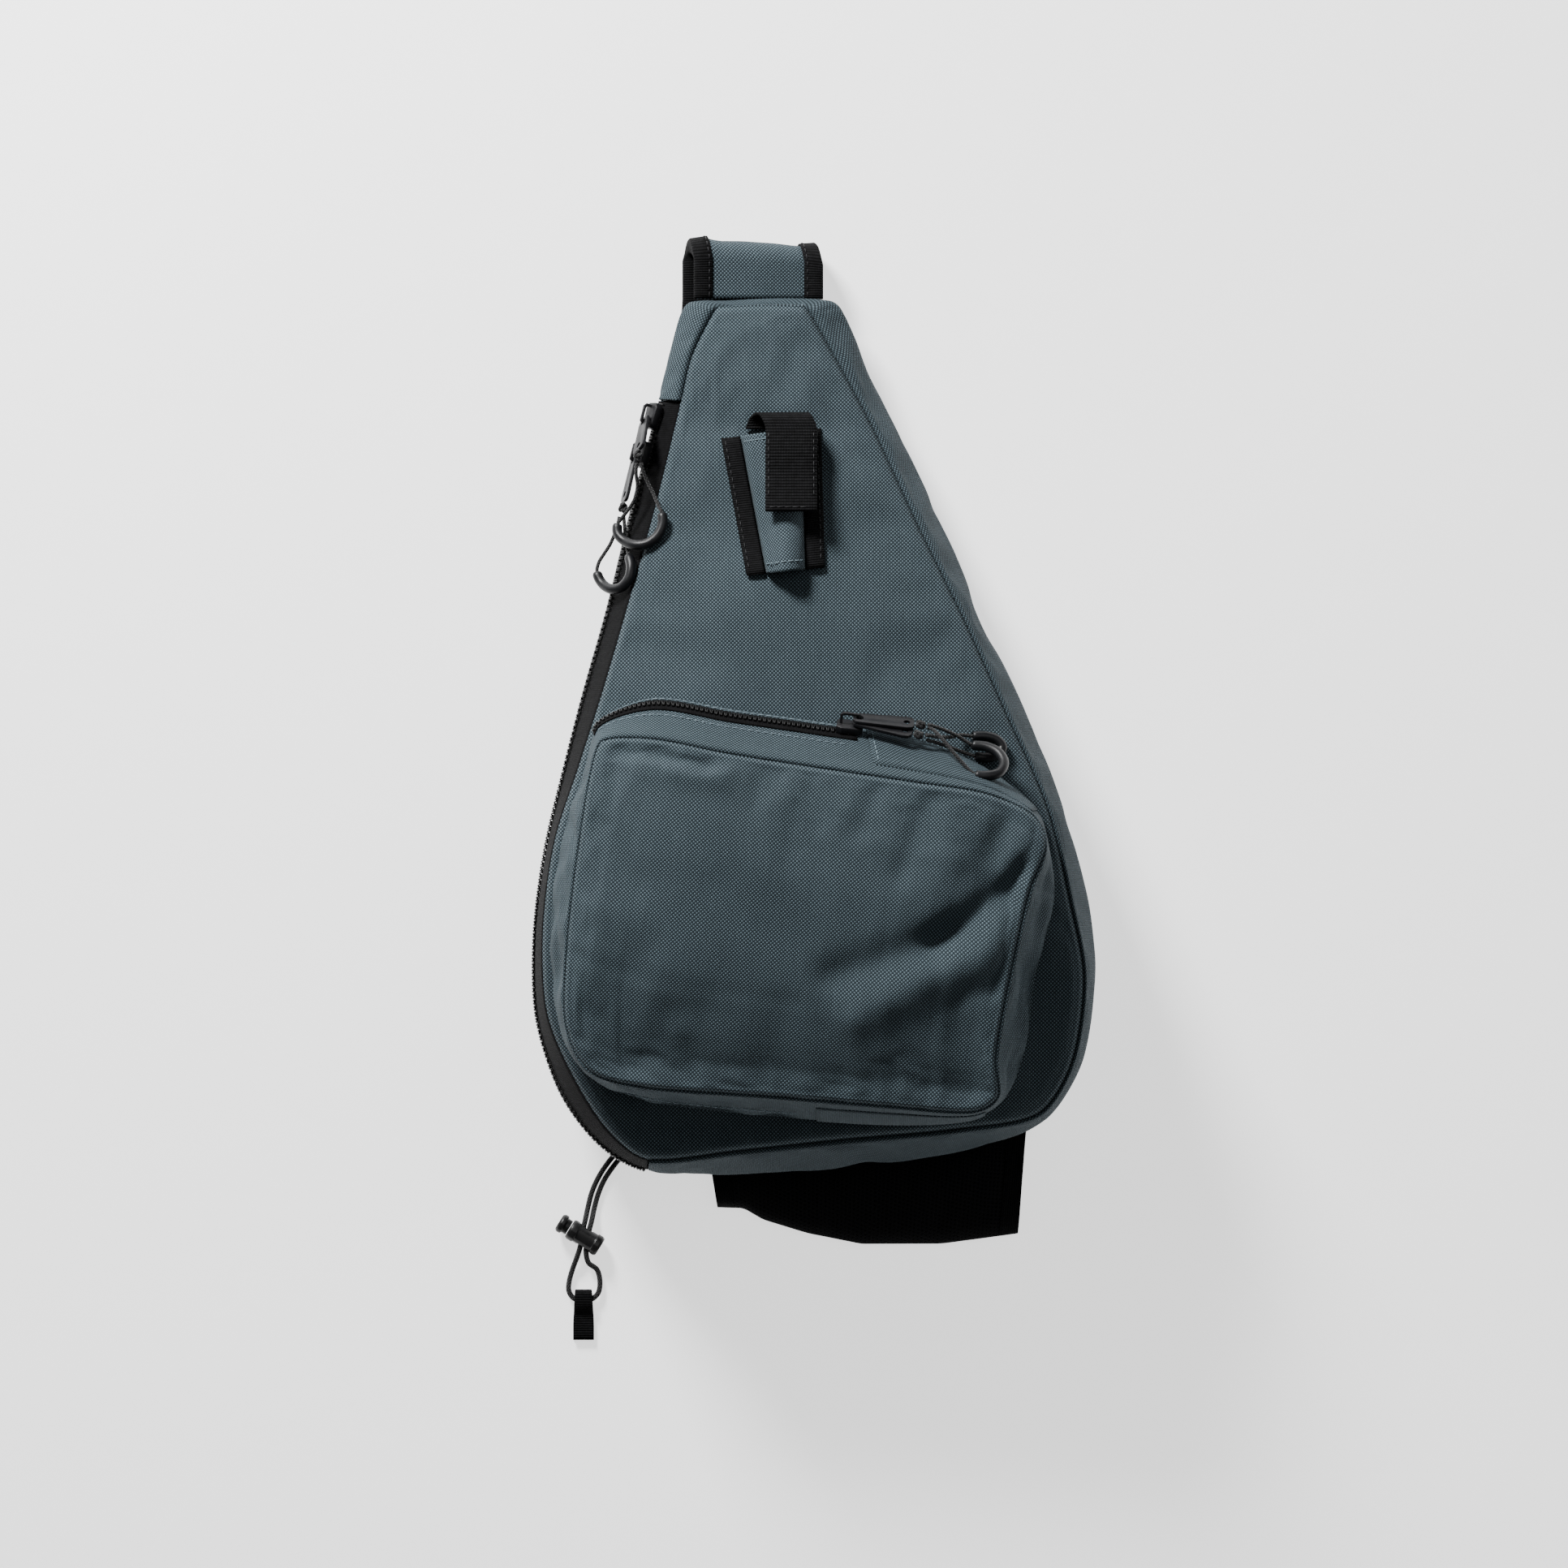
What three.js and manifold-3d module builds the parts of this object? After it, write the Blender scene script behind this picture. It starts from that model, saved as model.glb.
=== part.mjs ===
import * as THREE from 'three';
import { mergeVertices } from 'three/addons/utils/BufferGeometryUtils.js';
import Module from 'manifold-3d';

// Fishing tackle sling bag, lying on its back with its front panel up. Millimetres, +Z up.
// The shoulder strap is towards +Y, the bag's zipped side towards -X, and the floor is Z = 0.
// Tables hold shares: side of the half width, up of the length from the foot, the rest as named.

// Bag body
const BAG_LENGTH = 434;
const BAG_HALF_WIDTH = 138.5;
const BAG_FOOT_Y = -211.5;
const BAG_DEPTH = 84;
const PANEL_CROWN = 8;
const PANEL_MIDDLE_UP = 0.36;
const GUSSET_TUCK = 12;
const WAIST_SHARE = 0.45;
const FRONT_RING_SHARES = [1, 0.92, 0.78, 0.6, 0.4, 0.2];
const BACK_RING_SHARES = [1, 0.88, 0.74, 0.6, 0.42, 0.2];
const WALL = 2;
const GAP = 0.3;
const SEAT_GAP = 0.6;

// Main zip
const ZIP_TAPE = 1.4;
const ZIP_COIL_RISE = 1.5;
const ZIP_LOWER_EDGE = 0.42;
const ZIP_COIL_LINE = 0.72;
const ZIP_COIL_HALF_SHARE = 0.035;

// Front pocket
const POCKET_DEPTH = 44;
const POCKET_WALL = 1.6;
const POCKET_CROWN = 4;
const POCKET_RING_SHARES = [1, 0.93, 0.84, 0.72, 0.58, 0.42, 0.22];
const POCKET_MIDDLE_SIDE = -0.05;
const POCKET_MIDDLE_UP = 0.28;
const POCKET_ZIP_WIDTH_SHARE = 0.5;
const POCKET_ZIP_COLUMN = 1;
const POCKET_ZIP_RISE = 1.4;

// Tool holster on the front panel
const HOLSTER_LENGTH = 70;
const HOLSTER_TOP_WIDTH = 50;
const HOLSTER_FOOT_WIDTH = 39;
const HOLSTER_HEIGHT = 13;
const HOLSTER_WALL = 1.4;
const HOLSTER_TILT = 0.105;
const HOLSTER_TOP_SIDE = -0.155;
const HOLSTER_TOP_UP = 0.842;
const HOLSTER_BINDING_THICKNESS = 2;
const FLAP_WIDTH = 25.5;
const FLAP_THICKNESS = 1.5;
const FLAP_DROP = 40;
const FLAP_REACH = 10;
const FLAP_SHIFT = 10;

// Shoulder strap
const STRAP_WIDTH = 65;
const STRAP_THICKNESS = 5;
const BINDING_WIDTH = 9.5;
const BINDING_THICKNESS = 1;
const STRAP_FOLD_RADIUS = 7;
const STRAP_FOLD_REACH = 30;
const STRAP_PADDED_RUN = 290;
const STRAP_TAPER = 60;
const STRAP_END_WIDTH = 40;
const STRAP_SKEW = 6;
const STRAP_DRIFT = 28;
const WEBBING_WIDTH = 30;
const WEBBING_THICKNESS = 1.4;
const WEBBING_TAIL = 75;
const WEBBING_END_UP = 0.07;
const ADJUSTER_THICKNESS = 2.6;
const ADJUSTER_BAR = 4.8;
const ADJUSTER_SLOT = 5;
const ADJUSTER_RIM = 3.5;

// Mesh sleeve at the foot
const SLEEVE_HEIGHT = 11;
const SLEEVE_REACH = 42;
const SLEEVE_WALL = 1.2;
const SLEEVE_HEM_WIDTH = 9;
const SLEEVE_HEM_WALL = 1.8;

// Sliders and pull tabs of both zips
const SLIDER_LENGTH = 13;
const SLIDER_WIDTH = 9;
const SLIDER_BODY = 3.6;
// Outline of a slider seen from above, as shares of its length and width
const SLIDER_OUTLINE = [
  [-0.5, 0.33], [-0.3, 0.5], [0.35, 0.44], [0.5, 0.3],
  [0.5, -0.3], [0.35, -0.44], [-0.3, -0.5], [-0.5, -0.33],
];
const BAIL_WIRE = 1.4;
const BAIL_LEG = 4.5;
const PULL_LENGTH = 25;
const POCKET_PULL_LENGTH = 30;
const PULL_HEAD_WIDTH = 8;
const PULL_FOOT_WIDTH = 10.6;
const PULL_THICKNESS = 1.5;
const PULL_EDGE = 3.3;
const PULL_HOLE = 4;
const KNOT_LENGTH = 6;
const KNOT_WIDTH = 4.6;

// Cord loops on the pull tabs, and the rubber grips that they pass through
const PULL_CORD_DIAMETER = 1.8;
const GRIP_DIAMETER = 5;
const GRIP_BORE = 3.6;
// Each loop's route from its knot and back to it, and the points between which it is in its grip
const PULL_CORDS = [
  { pull: 'main_pull_upper', gripFrom: 6, gripTo: 13, route: [
    [-88.2, 138.8, 53.4], [-88.4, 133.5, 53.0], [-87.8, 128.0, 51.6], [-88.6, 122.5, 50.2],
    [-91.2, 117.5, 49.0], [-94.6, 113.0, 48.2], [-97.6, 108.6, 48.0], [-97.6, 104.0, 49.2],
    [-94.0, 100.0, 52.0], [-88.5, 98.0, 56.5], [-82.5, 98.8, 58.2], [-77.5, 102.8, 58.4],
    [-75.2, 108.4, 57.6], [-75.6, 113.6, 56.4], [-77.5, 118.0, 54.6], [-80.0, 124.0, 52.2],
    [-83.0, 130.0, 52.0], [-85.0, 135.0, 53.0], [-86.0, 138.8, 53.4],
  ] },
  { pull: 'main_pull_lower', gripFrom: 6, gripTo: 12, route: [
    [-96.9, 112.7, 42.8], [-98.0, 108.0, 42.6], [-99.6, 103.5, 42.4], [-101.6, 98.8, 42.6],
    [-104.6, 94.0, 43.6], [-107.2, 89.6, 45.0], [-108.0, 84.6, 46.6], [-105.4, 79.2, 49.0],
    [-100.6, 76.2, 53.8], [-95.4, 77.2, 57.0], [-91.8, 81.6, 58.2], [-90.8, 87.2, 57.2],
    [-92.0, 92.6, 54.0], [-93.2, 97.6, 49.4], [-94.0, 103.0, 45.4], [-94.4, 108.0, 43.2],
    [-94.8, 112.7, 42.8],
  ] },
  { pull: 'pocket_pull_upper', gripFrom: 3, gripTo: 9, route: [
    [55.4, 8.6, 98.0], [62.0, 6.5, 95.5], [70.0, 3.0, 92.5], [77.0, -1.2, 90.5],
    [84.0, -2.2, 91.0], [90.0, -5.2, 93.6], [92.5, -10.2, 98.0], [90.0, -14.8, 102.6],
    [84.5, -16.4, 105.2], [78.0, -15.8, 106.0], [71.0, -9.0, 105.0], [65.0, -2.0, 103.4],
    [60.5, 3.4, 101.6], [57.5, 6.2, 99.2], [55.4, 6.9, 98.4],
  ] },
  { pull: 'pocket_pull_lower', gripFrom: 4, gripTo: 10, route: [
    [54.3, 3.4, 103.0], [60.0, 2.6, 98.5], [66.0, 2.4, 92.5], [72.0, 3.6, 86.5],
    [77.5, 3.0, 84.0], [84.0, 3.0, 82.6], [89.6, 1.2, 81.8], [92.2, -2.4, 82.2],
    [90.0, -6.0, 83.8], [84.6, -7.4, 85.6], [78.8, -6.8, 87.2], [73.0, -5.0, 88.5],
    [66.0, -2.4, 92.0], [60.0, -0.4, 96.5], [54.8, 1.0, 101.8],
  ] },
];

const FABRIC = '#4e5f67';
const BLACK_WEBBING = '#17181a';
const BLACK_TAPE = '#111214';
const BLACK_MESH = '#0d0e0f';

const table = (columns, lines) => lines.map(
  (line) => Object.fromEntries(columns.map((column, k) => [column, line[k]])));

// Edge of the bag, clockwise seen from above: the widest line of the side, then the front seam.
const BODY_EDGE = table(['side', 'up', 'seamSide', 'seamUp'], [
  [-0.485, 0.981, -0.383, 0.972],
  [-0.450, 0.996, -0.348, 0.989],
  [0.063, 0.997, -0.038, 0.990],
  [0.118, 0.976, 0.009, 0.970],
  [0.286, 0.858, 0.206, 0.853],
  [0.452, 0.745, 0.371, 0.737],
  [0.604, 0.633, 0.534, 0.628],
  [0.758, 0.520, 0.682, 0.521],
  [0.892, 0.408, 0.831, 0.411],
  [0.976, 0.306, 0.907, 0.306],
  [1.000, 0.217, 0.956, 0.221],
  [0.956, 0.124, 0.917, 0.127],
  [0.825, 0.055, 0.798, 0.066],
  [0.548, 0.021, 0.510, 0.048],
  [0.138, 0.001, 0.106, 0.036],
  [-0.287, -0.007, -0.270, 0.023],
  [-0.595, -0.003, -0.589, 0.013],
  [-0.776, 0.027, -0.727, 0.043],
  [-0.922, 0.089, -0.847, 0.101],
  [-0.995, 0.175, -0.950, 0.179],
  [-0.997, 0.268, -0.966, 0.271],
  [-0.959, 0.362, -0.927, 0.372],
  [-0.901, 0.455, -0.841, 0.459],
  [-0.838, 0.541, -0.761, 0.540],
  [-0.753, 0.638, -0.673, 0.638],
  [-0.666, 0.755, -0.576, 0.752],
  [-0.562, 0.884, -0.480, 0.880],
  [-0.526, 0.930, -0.444, 0.930],
]);
const ZIP_FOOT_ROW = 16;
const ZIP_HEAD_ROW = 26;

// Height of the front seam above the floor, as a share of the depth
const SEAM_HEIGHT = table(['up', 'high'], [
  [-0.01, 0.85], [0.05, 0.90], [0.12, 0.96], [0.22, 1.00], [0.31, 1.00], [0.41, 0.96],
  [0.52, 0.88], [0.63, 0.76], [0.74, 0.62], [0.85, 0.49], [0.95, 0.40], [1.00, 0.36],
]);

// Pocket, clockwise from its top left corner: where it is sewn on, its face's edge, and its lift
const POCKET_EDGE = table(['side', 'up', 'faceSide', 'faceUp', 'lift'], [
  [-0.767, 0.511, -0.748, 0.488, 0.70],
  [-0.570, 0.538, -0.565, 0.490, 0.72],
  [-0.298, 0.525, -0.308, 0.474, 0.75],
  [-0.010, 0.512, -0.012, 0.459, 0.78],
  [0.294, 0.496, 0.343, 0.442, 0.80],
  [0.594, 0.459, 0.600, 0.429, 0.80],
  [0.800, 0.405, 0.765, 0.405, 0.78],
  [0.838, 0.355, 0.810, 0.372, 0.80],
  [0.850, 0.310, 0.749, 0.320, 0.85],
  [0.782, 0.224, 0.685, 0.233, 0.90],
  [0.742, 0.136, 0.631, 0.140, 0.95],
  [0.674, 0.084, 0.640, 0.092, 1.00],
  [0.551, 0.060, 0.550, 0.074, 1.00],
  [0.278, 0.055, 0.273, 0.080, 1.00],
  [-0.175, 0.064, -0.182, 0.092, 0.98],
  [-0.592, 0.081, -0.608, 0.102, 0.92],
  [-0.815, 0.113, -0.800, 0.122, 0.85],
  [-0.905, 0.176, -0.874, 0.176, 0.80],
  [-0.935, 0.271, -0.864, 0.273, 0.78],
  [-0.895, 0.377, -0.825, 0.377, 0.74],
  [-0.815, 0.460, -0.785, 0.456, 0.70],
]);
const POCKET_ZIP_FIRST_ROW = 0.5;
const POCKET_ZIP_LAST_ROW = 3.5;
const POCKET_SLIDER_ROW = 3.42;
const POCKET_SLIDER_LINE = 0.37;

// Creases of the pocket face: from, to, how deep as a share of the crown, how wide of the half width
const POCKET_CREASES = table(['side', 'up', 'toSide', 'toUp', 'deep', 'wide'], [
  [0.740, 0.330, 0.050, 0.222, 1.10, 0.070],
  [0.640, 0.250, 0.120, 0.168, -0.90, 0.080],
  [-0.680, 0.478, -0.420, 0.458, 0.80, 0.045],
]);

// Profile of the mesh sleeve, round its open loop: how far out and how high
const SLEEVE_PROFILE = table(['out', 'high'], [
  [0.00, 0.16], [0.12, 0.36], [0.30, 0.72], [0.62, 1.00], [0.88, 0.86], [1.00, 0.45],
  [0.90, 0.06], [0.62, 0.00], [0.30, 0.00], [0.00, 0.00],
]);
// Sleeve from its left end to its right: share of its run, its root, its tip, its reach past the foot
const SLEEVE_SIDES = table(['run', 'rootSide', 'tipSide', 'reach'], [
  [0.00, -0.385, -0.350, 0.55],
  [0.10, -0.270, -0.255, 0.56],
  [0.17, -0.190, -0.185, 0.70],
  [0.32, -0.020, -0.020, 0.87],
  [0.50, 0.190, 0.175, 1.00],
  [0.75, 0.500, 0.465, 1.00],
  [1.00, 0.780, 0.743, 0.88],
]);

// Holster flap: how far past the sleeve's mouth, how high over the panel, how far from root to front
const FLAP_LOOP = table(['out', 'high', 'shift'], [
  [0.20, 0.06, 0.0], [0.50, 0.12, 0.1], [0.84, 0.33, 0.3], [0.92, 0.60, 0.6],
  [0.70, 0.88, 0.8], [0.20, 1.00, 1.0],
]);

// Drawcord at the zip's foot: both strands run side by side through the lock and round its tab
const DRAWCORD_DIAMETER = 2.7;
const DRAWCORD_ROUTE = [
  [-92.6, -196.5, 2.0], [-98.6, -205.4, 1.4], [-103.5, -211.2, 1.4], [-108.3, -218.4, 1.4],
  [-111.9, -226.2, 1.4], [-114.0, -234.2, 2.0], [-115.2, -240.2, 4.6], [-116.2, -244.8, 5.4],
  [-117.0, -249.1, 5.4], [-117.8, -254.0, 5.4], [-119.6, -259.6, 4.2], [-121.8, -265.6, 2.2],
  [-123.4, -271.4, 2.2], [-123.6, -276.2, 2.8], [-121.4, -279.8, 2.8], [-117.0, -281.2, 2.8],
  [-112.4, -280.6, 2.8], [-108.9, -277.6, 2.8], [-107.9, -271.8, 2.2], [-109.4, -265.6, 2.2],
  [-113.6, -262.0, 4.2], [-114.8, -256.6, 5.4], [-114.0, -249.7, 5.4], [-113.2, -245.4, 5.4],
  [-112.0, -240.8, 4.6], [-110.8, -234.8, 2.0], [-108.7, -227.2, 1.4], [-105.5, -220.0, 1.4],
  [-100.9, -213.2, 1.4], [-96.2, -207.4, 1.4], [-89.7, -198.8, 1.9],
];

// Cord lock and end tab
const LOCK_RADIUS = 5.4;
const LOCK_LENGTH = 18;
const LOCK_BUTTON_RADIUS = 5;
const LOCK_BUTTON_LENGTH = 6;
const LOCK_ANGLE = -0.56;
const LOCK_PLACE = [-115.4, -249.3];
const LOCK_HOLE_ANGLE = -0.17;
const LOCK_HOLE_CLEARANCE = 0.35;
const TAB_WIDTH = 10.5;
const TAB_LENGTH = 25.5;
const TAB_THICKNESS = 1.1;
const TAB_PLACE = [-116.2, -275.6];
// The tab's fold seen from its side: how far down from its top, and how high up to TAB_FOLD_TOP
const TAB_FOLD_TOP = 4.6;
const TAB_FOLD = [
  [TAB_LENGTH, 0.5], [7, 0.5], [3, 0.5], [1.2, 0.9], [0.6, 1.9], [0.6, 3.2],
  [1.6, 4.4], [3.4, TAB_FOLD_TOP], [6.4, 4.5], [9, 3.6], [12, 1.95], [TAB_LENGTH, 1.9],
];

const v3 = (x, y, z) => new THREE.Vector3(x, y, z);
const mix = (a, b, share) => a + (b - a) * share;
const placeX = (side) => side * BAG_HALF_WIDTH;
const placeY = (up) => BAG_FOOT_Y + up * BAG_LENGTH;
const upOf = (y) => (y - BAG_FOOT_Y) / BAG_LENGTH;

function smoothStep(from, to, value) {
  const share = THREE.MathUtils.clamp((value - from) / (to - from), 0, 1);
  return share * share * (3 - 2 * share);
}

function readColumn(rows, key, column, at) {
  const last = rows.length - 1;
  if (at <= rows[0][key]) return rows[0][column];
  if (at >= rows[last][key]) return rows[last][column];
  const k = rows.findIndex((row) => row[key] > at) - 1;
  const share = (at - rows[k][key]) / (rows[k + 1][key] - rows[k][key]);
  return mix(rows[k][column], rows[k + 1][column], share);
}

// One row of a closed table at a fractional row number, on a smooth curve through the rows
function smoothRow(rows, at) {
  const count = rows.length;
  const k = Math.floor(at);
  const t = at - k;
  const near = [-1, 0, 1, 2].map((step) => rows[(k + step + count) % count]);
  const weights = [
    0.5 * (-t + 2 * t * t - t ** 3),
    0.5 * (2 - 5 * t * t + 3 * t ** 3),
    0.5 * (t + 4 * t * t - 3 * t ** 3),
    0.5 * (t ** 3 - t * t),
  ];
  return Object.fromEntries(Object.keys(rows[0]).map(
    (key) => [key, near.reduce((sum, row, n) => sum + row[key] * weights[n], 0)]));
}

// Vertices and faces of one closed body
class Body {
  constructor() {
    this.points = [];
    this.faces = [];
  }

  grid(rows) {
    return rows.map((row) => row.map((point) => this.point(point)));
  }

  point(point) {
    this.points.push(point.x, point.y, point.z);
    return this.points.length / 3 - 1;
  }

  quad(a, b, c, d) {
    this.faces.push(a, b, c, a, c, d);
  }

  strip(first, second, round = false) {
    const count = round ? first.length : first.length - 1;
    for (let k = 0; k < count; k += 1) {
      const next = (k + 1) % first.length;
      this.quad(first[k], first[next], second[next], second[k]);
    }
  }

  geometry() {
    const geometry = new THREE.BufferGeometry();
    let volume = 0;
    const corner = (k) => v3().fromArray(this.points, 3 * this.faces[k]);
    for (let k = 0; k < this.faces.length; k += 3) {
      volume += corner(k).dot(corner(k + 1).cross(corner(k + 2)));
    }
    const faces = volume < 0 ? this.faces.slice().reverse() : this.faces;
    geometry.setAttribute('position', new THREE.Float32BufferAttribute(this.points, 3));
    geometry.setIndex(faces);
    geometry.computeVertexNormals();
    return geometry;
  }
}

// Cloth between an outer and an inner grid of points; rows run round, columns run across
function clothSolid(outer, inner, round) {
  const body = new Body();
  const front = body.grid(outer);
  const back = body.grid(inner);
  const count = round ? front.length : front.length - 1;
  for (let k = 0; k < count; k += 1) {
    const next = (k + 1) % front.length;
    body.strip(front[k], front[next]);
    body.strip(back[next], back[k]);
    body.quad(front[k][0], front[next][0], back[next][0], back[k][0]);
    body.quad(front[next].at(-1), front[k].at(-1), back[k].at(-1), back[next].at(-1));
  }
  if (!round) {
    body.strip(back[0], front[0]);
    body.strip(front.at(-1), back.at(-1));
  }
  return body.geometry();
}

// Panel made of rings from its rim to a middle point, with an upper and a lower face
function panelSolid(rings, middle, thickness) {
  const body = new Body();
  const below = (point) => v3(point.x, point.y, point.z - thickness);
  const upper = body.grid(rings);
  const lower = body.grid(rings.map((ring) => ring.map(below)));
  for (let k = 0; k < rings.length - 1; k += 1) {
    body.strip(upper[k], upper[k + 1], true);
    body.strip(lower[k + 1], lower[k], true);
  }
  const top = body.point(middle);
  const bottom = body.point(below(middle));
  const count = rings[0].length;
  for (let k = 0; k < count; k += 1) {
    const next = (k + 1) % count;
    body.faces.push(upper.at(-1)[k], upper.at(-1)[next], top);
    body.faces.push(lower.at(-1)[next], lower.at(-1)[k], bottom);
  }
  body.strip(lower[0], upper[0], true);
  return body.geometry();
}

// Solid swept from closed sections of equal point count, capped at both ends
function sweptSolid(sections) {
  const body = new Body();
  const rows = body.grid(sections);
  for (let k = 0; k < rows.length - 1; k += 1) body.strip(rows[k], rows[k + 1], true);
  return { body, rows };
}

// Flat section outlines of a ribbon: across (u) and through (w)
const slab = (left, right, low, high) => [[left, low], [right, low], [right, high], [left, high]];

// A ribbon follows a path; section(k) gives its outline, and side is its width's direction
function ribbon(path, side, section) {
  const outlines = path.map((_, k) => section(k));
  const sections = path.map((point, k) => {
    const before = path[Math.max(k - 1, 0)];
    const after = path[Math.min(k + 1, path.length - 1)];
    const along = after.clone().sub(before);
    const through = side.clone().cross(along).normalize();
    return outlines[k].map(([u, w]) => point.clone()
      .addScaledVector(side, u).addScaledVector(through, w));
  });
  const { body, rows } = sweptSolid(sections);
  const flat = outlines[0].map(([u, w]) => new THREE.Vector2(u, w));
  THREE.ShapeUtils.triangulateShape(flat, []).forEach(([a, b, c]) => {
    const turned = THREE.ShapeUtils.isClockWise(flat) ? [a, c, b] : [a, b, c];
    body.faces.push(...turned.map((k) => rows[0][k]).reverse());
    body.faces.push(...turned.map((k) => rows.at(-1)[k]));
  });
  return body.geometry();
}

// A grid of points moved along its own normals; rows run round, columns run across
function offsetGrid(grid, distance, round) {
  const count = grid.length;
  return grid.map((row, k) => row.map((point, n) => {
    const before = grid[round ? (k - 1 + count) % count : Math.max(k - 1, 0)][n];
    const after = grid[round ? (k + 1) % count : Math.min(k + 1, count - 1)][n];
    const low = row[Math.max(n - 1, 0)];
    const high = row[Math.min(n + 1, row.length - 1)];
    const normal = high.clone().sub(low).cross(after.clone().sub(before)).normalize();
    const amount = typeof distance === 'function' ? distance(k, n) : distance;
    return point.clone().addScaledVector(normal, amount);
  }));
}

// Highest and lowest point of a geometry over a place on the floor
const topOf = (geometry, x, y) => Math.max(...heightsOf(geometry, x, y));
const undersideOf = (geometry, x, y) => Math.min(...heightsOf(geometry, x, y));

function heightsOf(geometry, x, y) {
  const place = geometry.getAttribute('position');
  const index = geometry.getIndex().array;
  const heights = [];
  for (let k = 0; k < index.length; k += 3) {
    const [a, b, c] = [0, 1, 2].map((n) => v3().fromBufferAttribute(place, index[k + n]));
    const area = (b.x - a.x) * (c.y - a.y) - (c.x - a.x) * (b.y - a.y);
    if (Math.abs(area) < 1e-9) continue;
    const s = ((x - a.x) * (c.y - a.y) - (c.x - a.x) * (y - a.y)) / area;
    const t = ((b.x - a.x) * (y - a.y) - (x - a.x) * (b.y - a.y)) / area;
    if (s < -1e-6 || t < -1e-6 || s + t > 1 + 1e-6) continue;
    heights.push(a.z + s * (b.z - a.z) + t * (c.z - a.z));
  }
  return heights;
}

const bag = new THREE.Group();

function addPart(name, geometry, color, roughness = 0.9, metalness = 0) {
  const material = new THREE.MeshStandardMaterial({ color, roughness, metalness });
  const mesh = new THREE.Mesh(geometry, material);
  mesh.name = name;
  bag.add(mesh);
  return mesh;
}

// Strap route seen from above: its middle line's X at a given Y under the bag
const strapRootX = placeX((BODY_EDGE[1].side + BODY_EDGE[2].side) / 2) - 1;
const strapRootY = placeY(1);
const strapReturnX = (y) => strapRootX - STRAP_SKEW
  - STRAP_DRIFT * THREE.MathUtils.clamp((strapRootY - y) / STRAP_PADDED_RUN, 0, 1.4);
const padEndY = strapRootY - STRAP_PADDED_RUN;
const webbingEndY = placeY(WEBBING_END_UP);
const strapBaseZ = STRAP_THICKNESS / 2 + GAP + BINDING_THICKNESS;

// Heights of the webbing's tail, its run, the adjuster and the turn over the adjuster's middle bar
const tailZ = WEBBING_THICKNESS / 2;
const webbingRunZ = tailZ + WEBBING_THICKNESS + GAP;
const adjusterZ = webbingRunZ + WEBBING_THICKNESS / 2 + GAP;
const webbingTurnZ = adjusterZ + ADJUSTER_THICKNESS + GAP + WEBBING_THICKNESS / 2;
const strapRoom = 3 * GAP + Math.max(2 * strapBaseZ, webbingTurnZ + WEBBING_THICKNESS / 2);

// The back panel rides up over the strap that lies under it
function backLift(x, y) {
  const away = Math.abs(x - strapReturnX(y));
  const acrossShare = 1 - smoothStep(STRAP_WIDTH / 2 + 5, STRAP_WIDTH / 2 + 30, away);
  const alongShare = smoothStep(placeY(0.02), placeY(0.10), y);
  return strapRoom * acrossShare * alongShare;
}

const seamHeight = (y) => BAG_DEPTH * readColumn(SEAM_HEIGHT, 'up', 'high', upOf(y));

// Middle line of the bag, towards which its sides tuck in below their widest line
const spine = new THREE.Line3(v3(placeX(-0.18), placeY(0.9), 0), v3(0, placeY(0.34), 0));

// The side of the bag at a row of the edge table: from the back seam (0) to the front seam (1)
function bodySide(row, share) {
  const here = smoothRow(BODY_EDGE, row);
  const waist = v3(placeX(here.side), placeY(here.up), 0);
  const inward = spine.closestPointToPoint(waist, true, v3()).sub(waist).normalize();
  const back = waist.clone().addScaledVector(inward, GUSSET_TUCK);
  const front = v3(placeX(here.seamSide), placeY(here.seamUp), 0);
  back.z = backLift(back.x, back.y) + WALL + GAP;
  front.z = seamHeight(front.y) - WALL - GAP;
  waist.z = mix(back.z, front.z, WAIST_SHARE);
  const bend = waist.clone().multiplyScalar(2)
    .addScaledVector(back, -0.5)
    .addScaledVector(front, -0.5);
  return new THREE.QuadraticBezierCurve3(back, bend, front).getPoint(share);
}

const STATIONS_PER_ROW = 2;
const rowCount = BODY_EDGE.length;
const stationRows = Array.from(
  { length: rowCount * STATIONS_PER_ROW }, (_, k) => k / STATIONS_PER_ROW);
const sideArc = bodySide(ZIP_HEAD_ROW, 0).distanceTo(bodySide(ZIP_HEAD_ROW, 1));
const gapShare = GAP / sideArc;
const gapRow = GAP / bodySide(ZIP_FOOT_ROW, 1).distanceTo(bodySide(ZIP_FOOT_ROW + 1, 1));

function sidePatch(firstRow, lastRow, shares) {
  const steps = Math.round((lastRow - firstRow) * STATIONS_PER_ROW);
  return Array.from({ length: steps + 1 }, (_, k) => {
    const row = mix(firstRow, lastRow, k / steps);
    return shares.map((share) => bodySide(row % rowCount, share));
  });
}

const panelMiddle = v3(0, placeY(PANEL_MIDDLE_UP), 0);

function panelRings(rim, shares, heightOf) {
  return shares.map((share) => rim.map((edge) => {
    const point = panelMiddle.clone().lerp(edge, share);
    point.z = heightOf(point, share, edge);
    return point;
  }));
}

// Front panel: a crowned wedge between its seams
const frontRim = stationRows.map((row) => bodySide(row, 1));
const frontHeight = (point, share) => seamHeight(point.y) + PANEL_CROWN * (1 - share * share);
const frontMiddle = v3(panelMiddle.x, panelMiddle.y, frontHeight(panelMiddle, 0));
const frontRings = panelRings(frontRim, FRONT_RING_SHARES, frontHeight);
const frontPanel = panelSolid(frontRings, frontMiddle, WALL);
addPart('front_panel', frontPanel, FABRIC);

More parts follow.
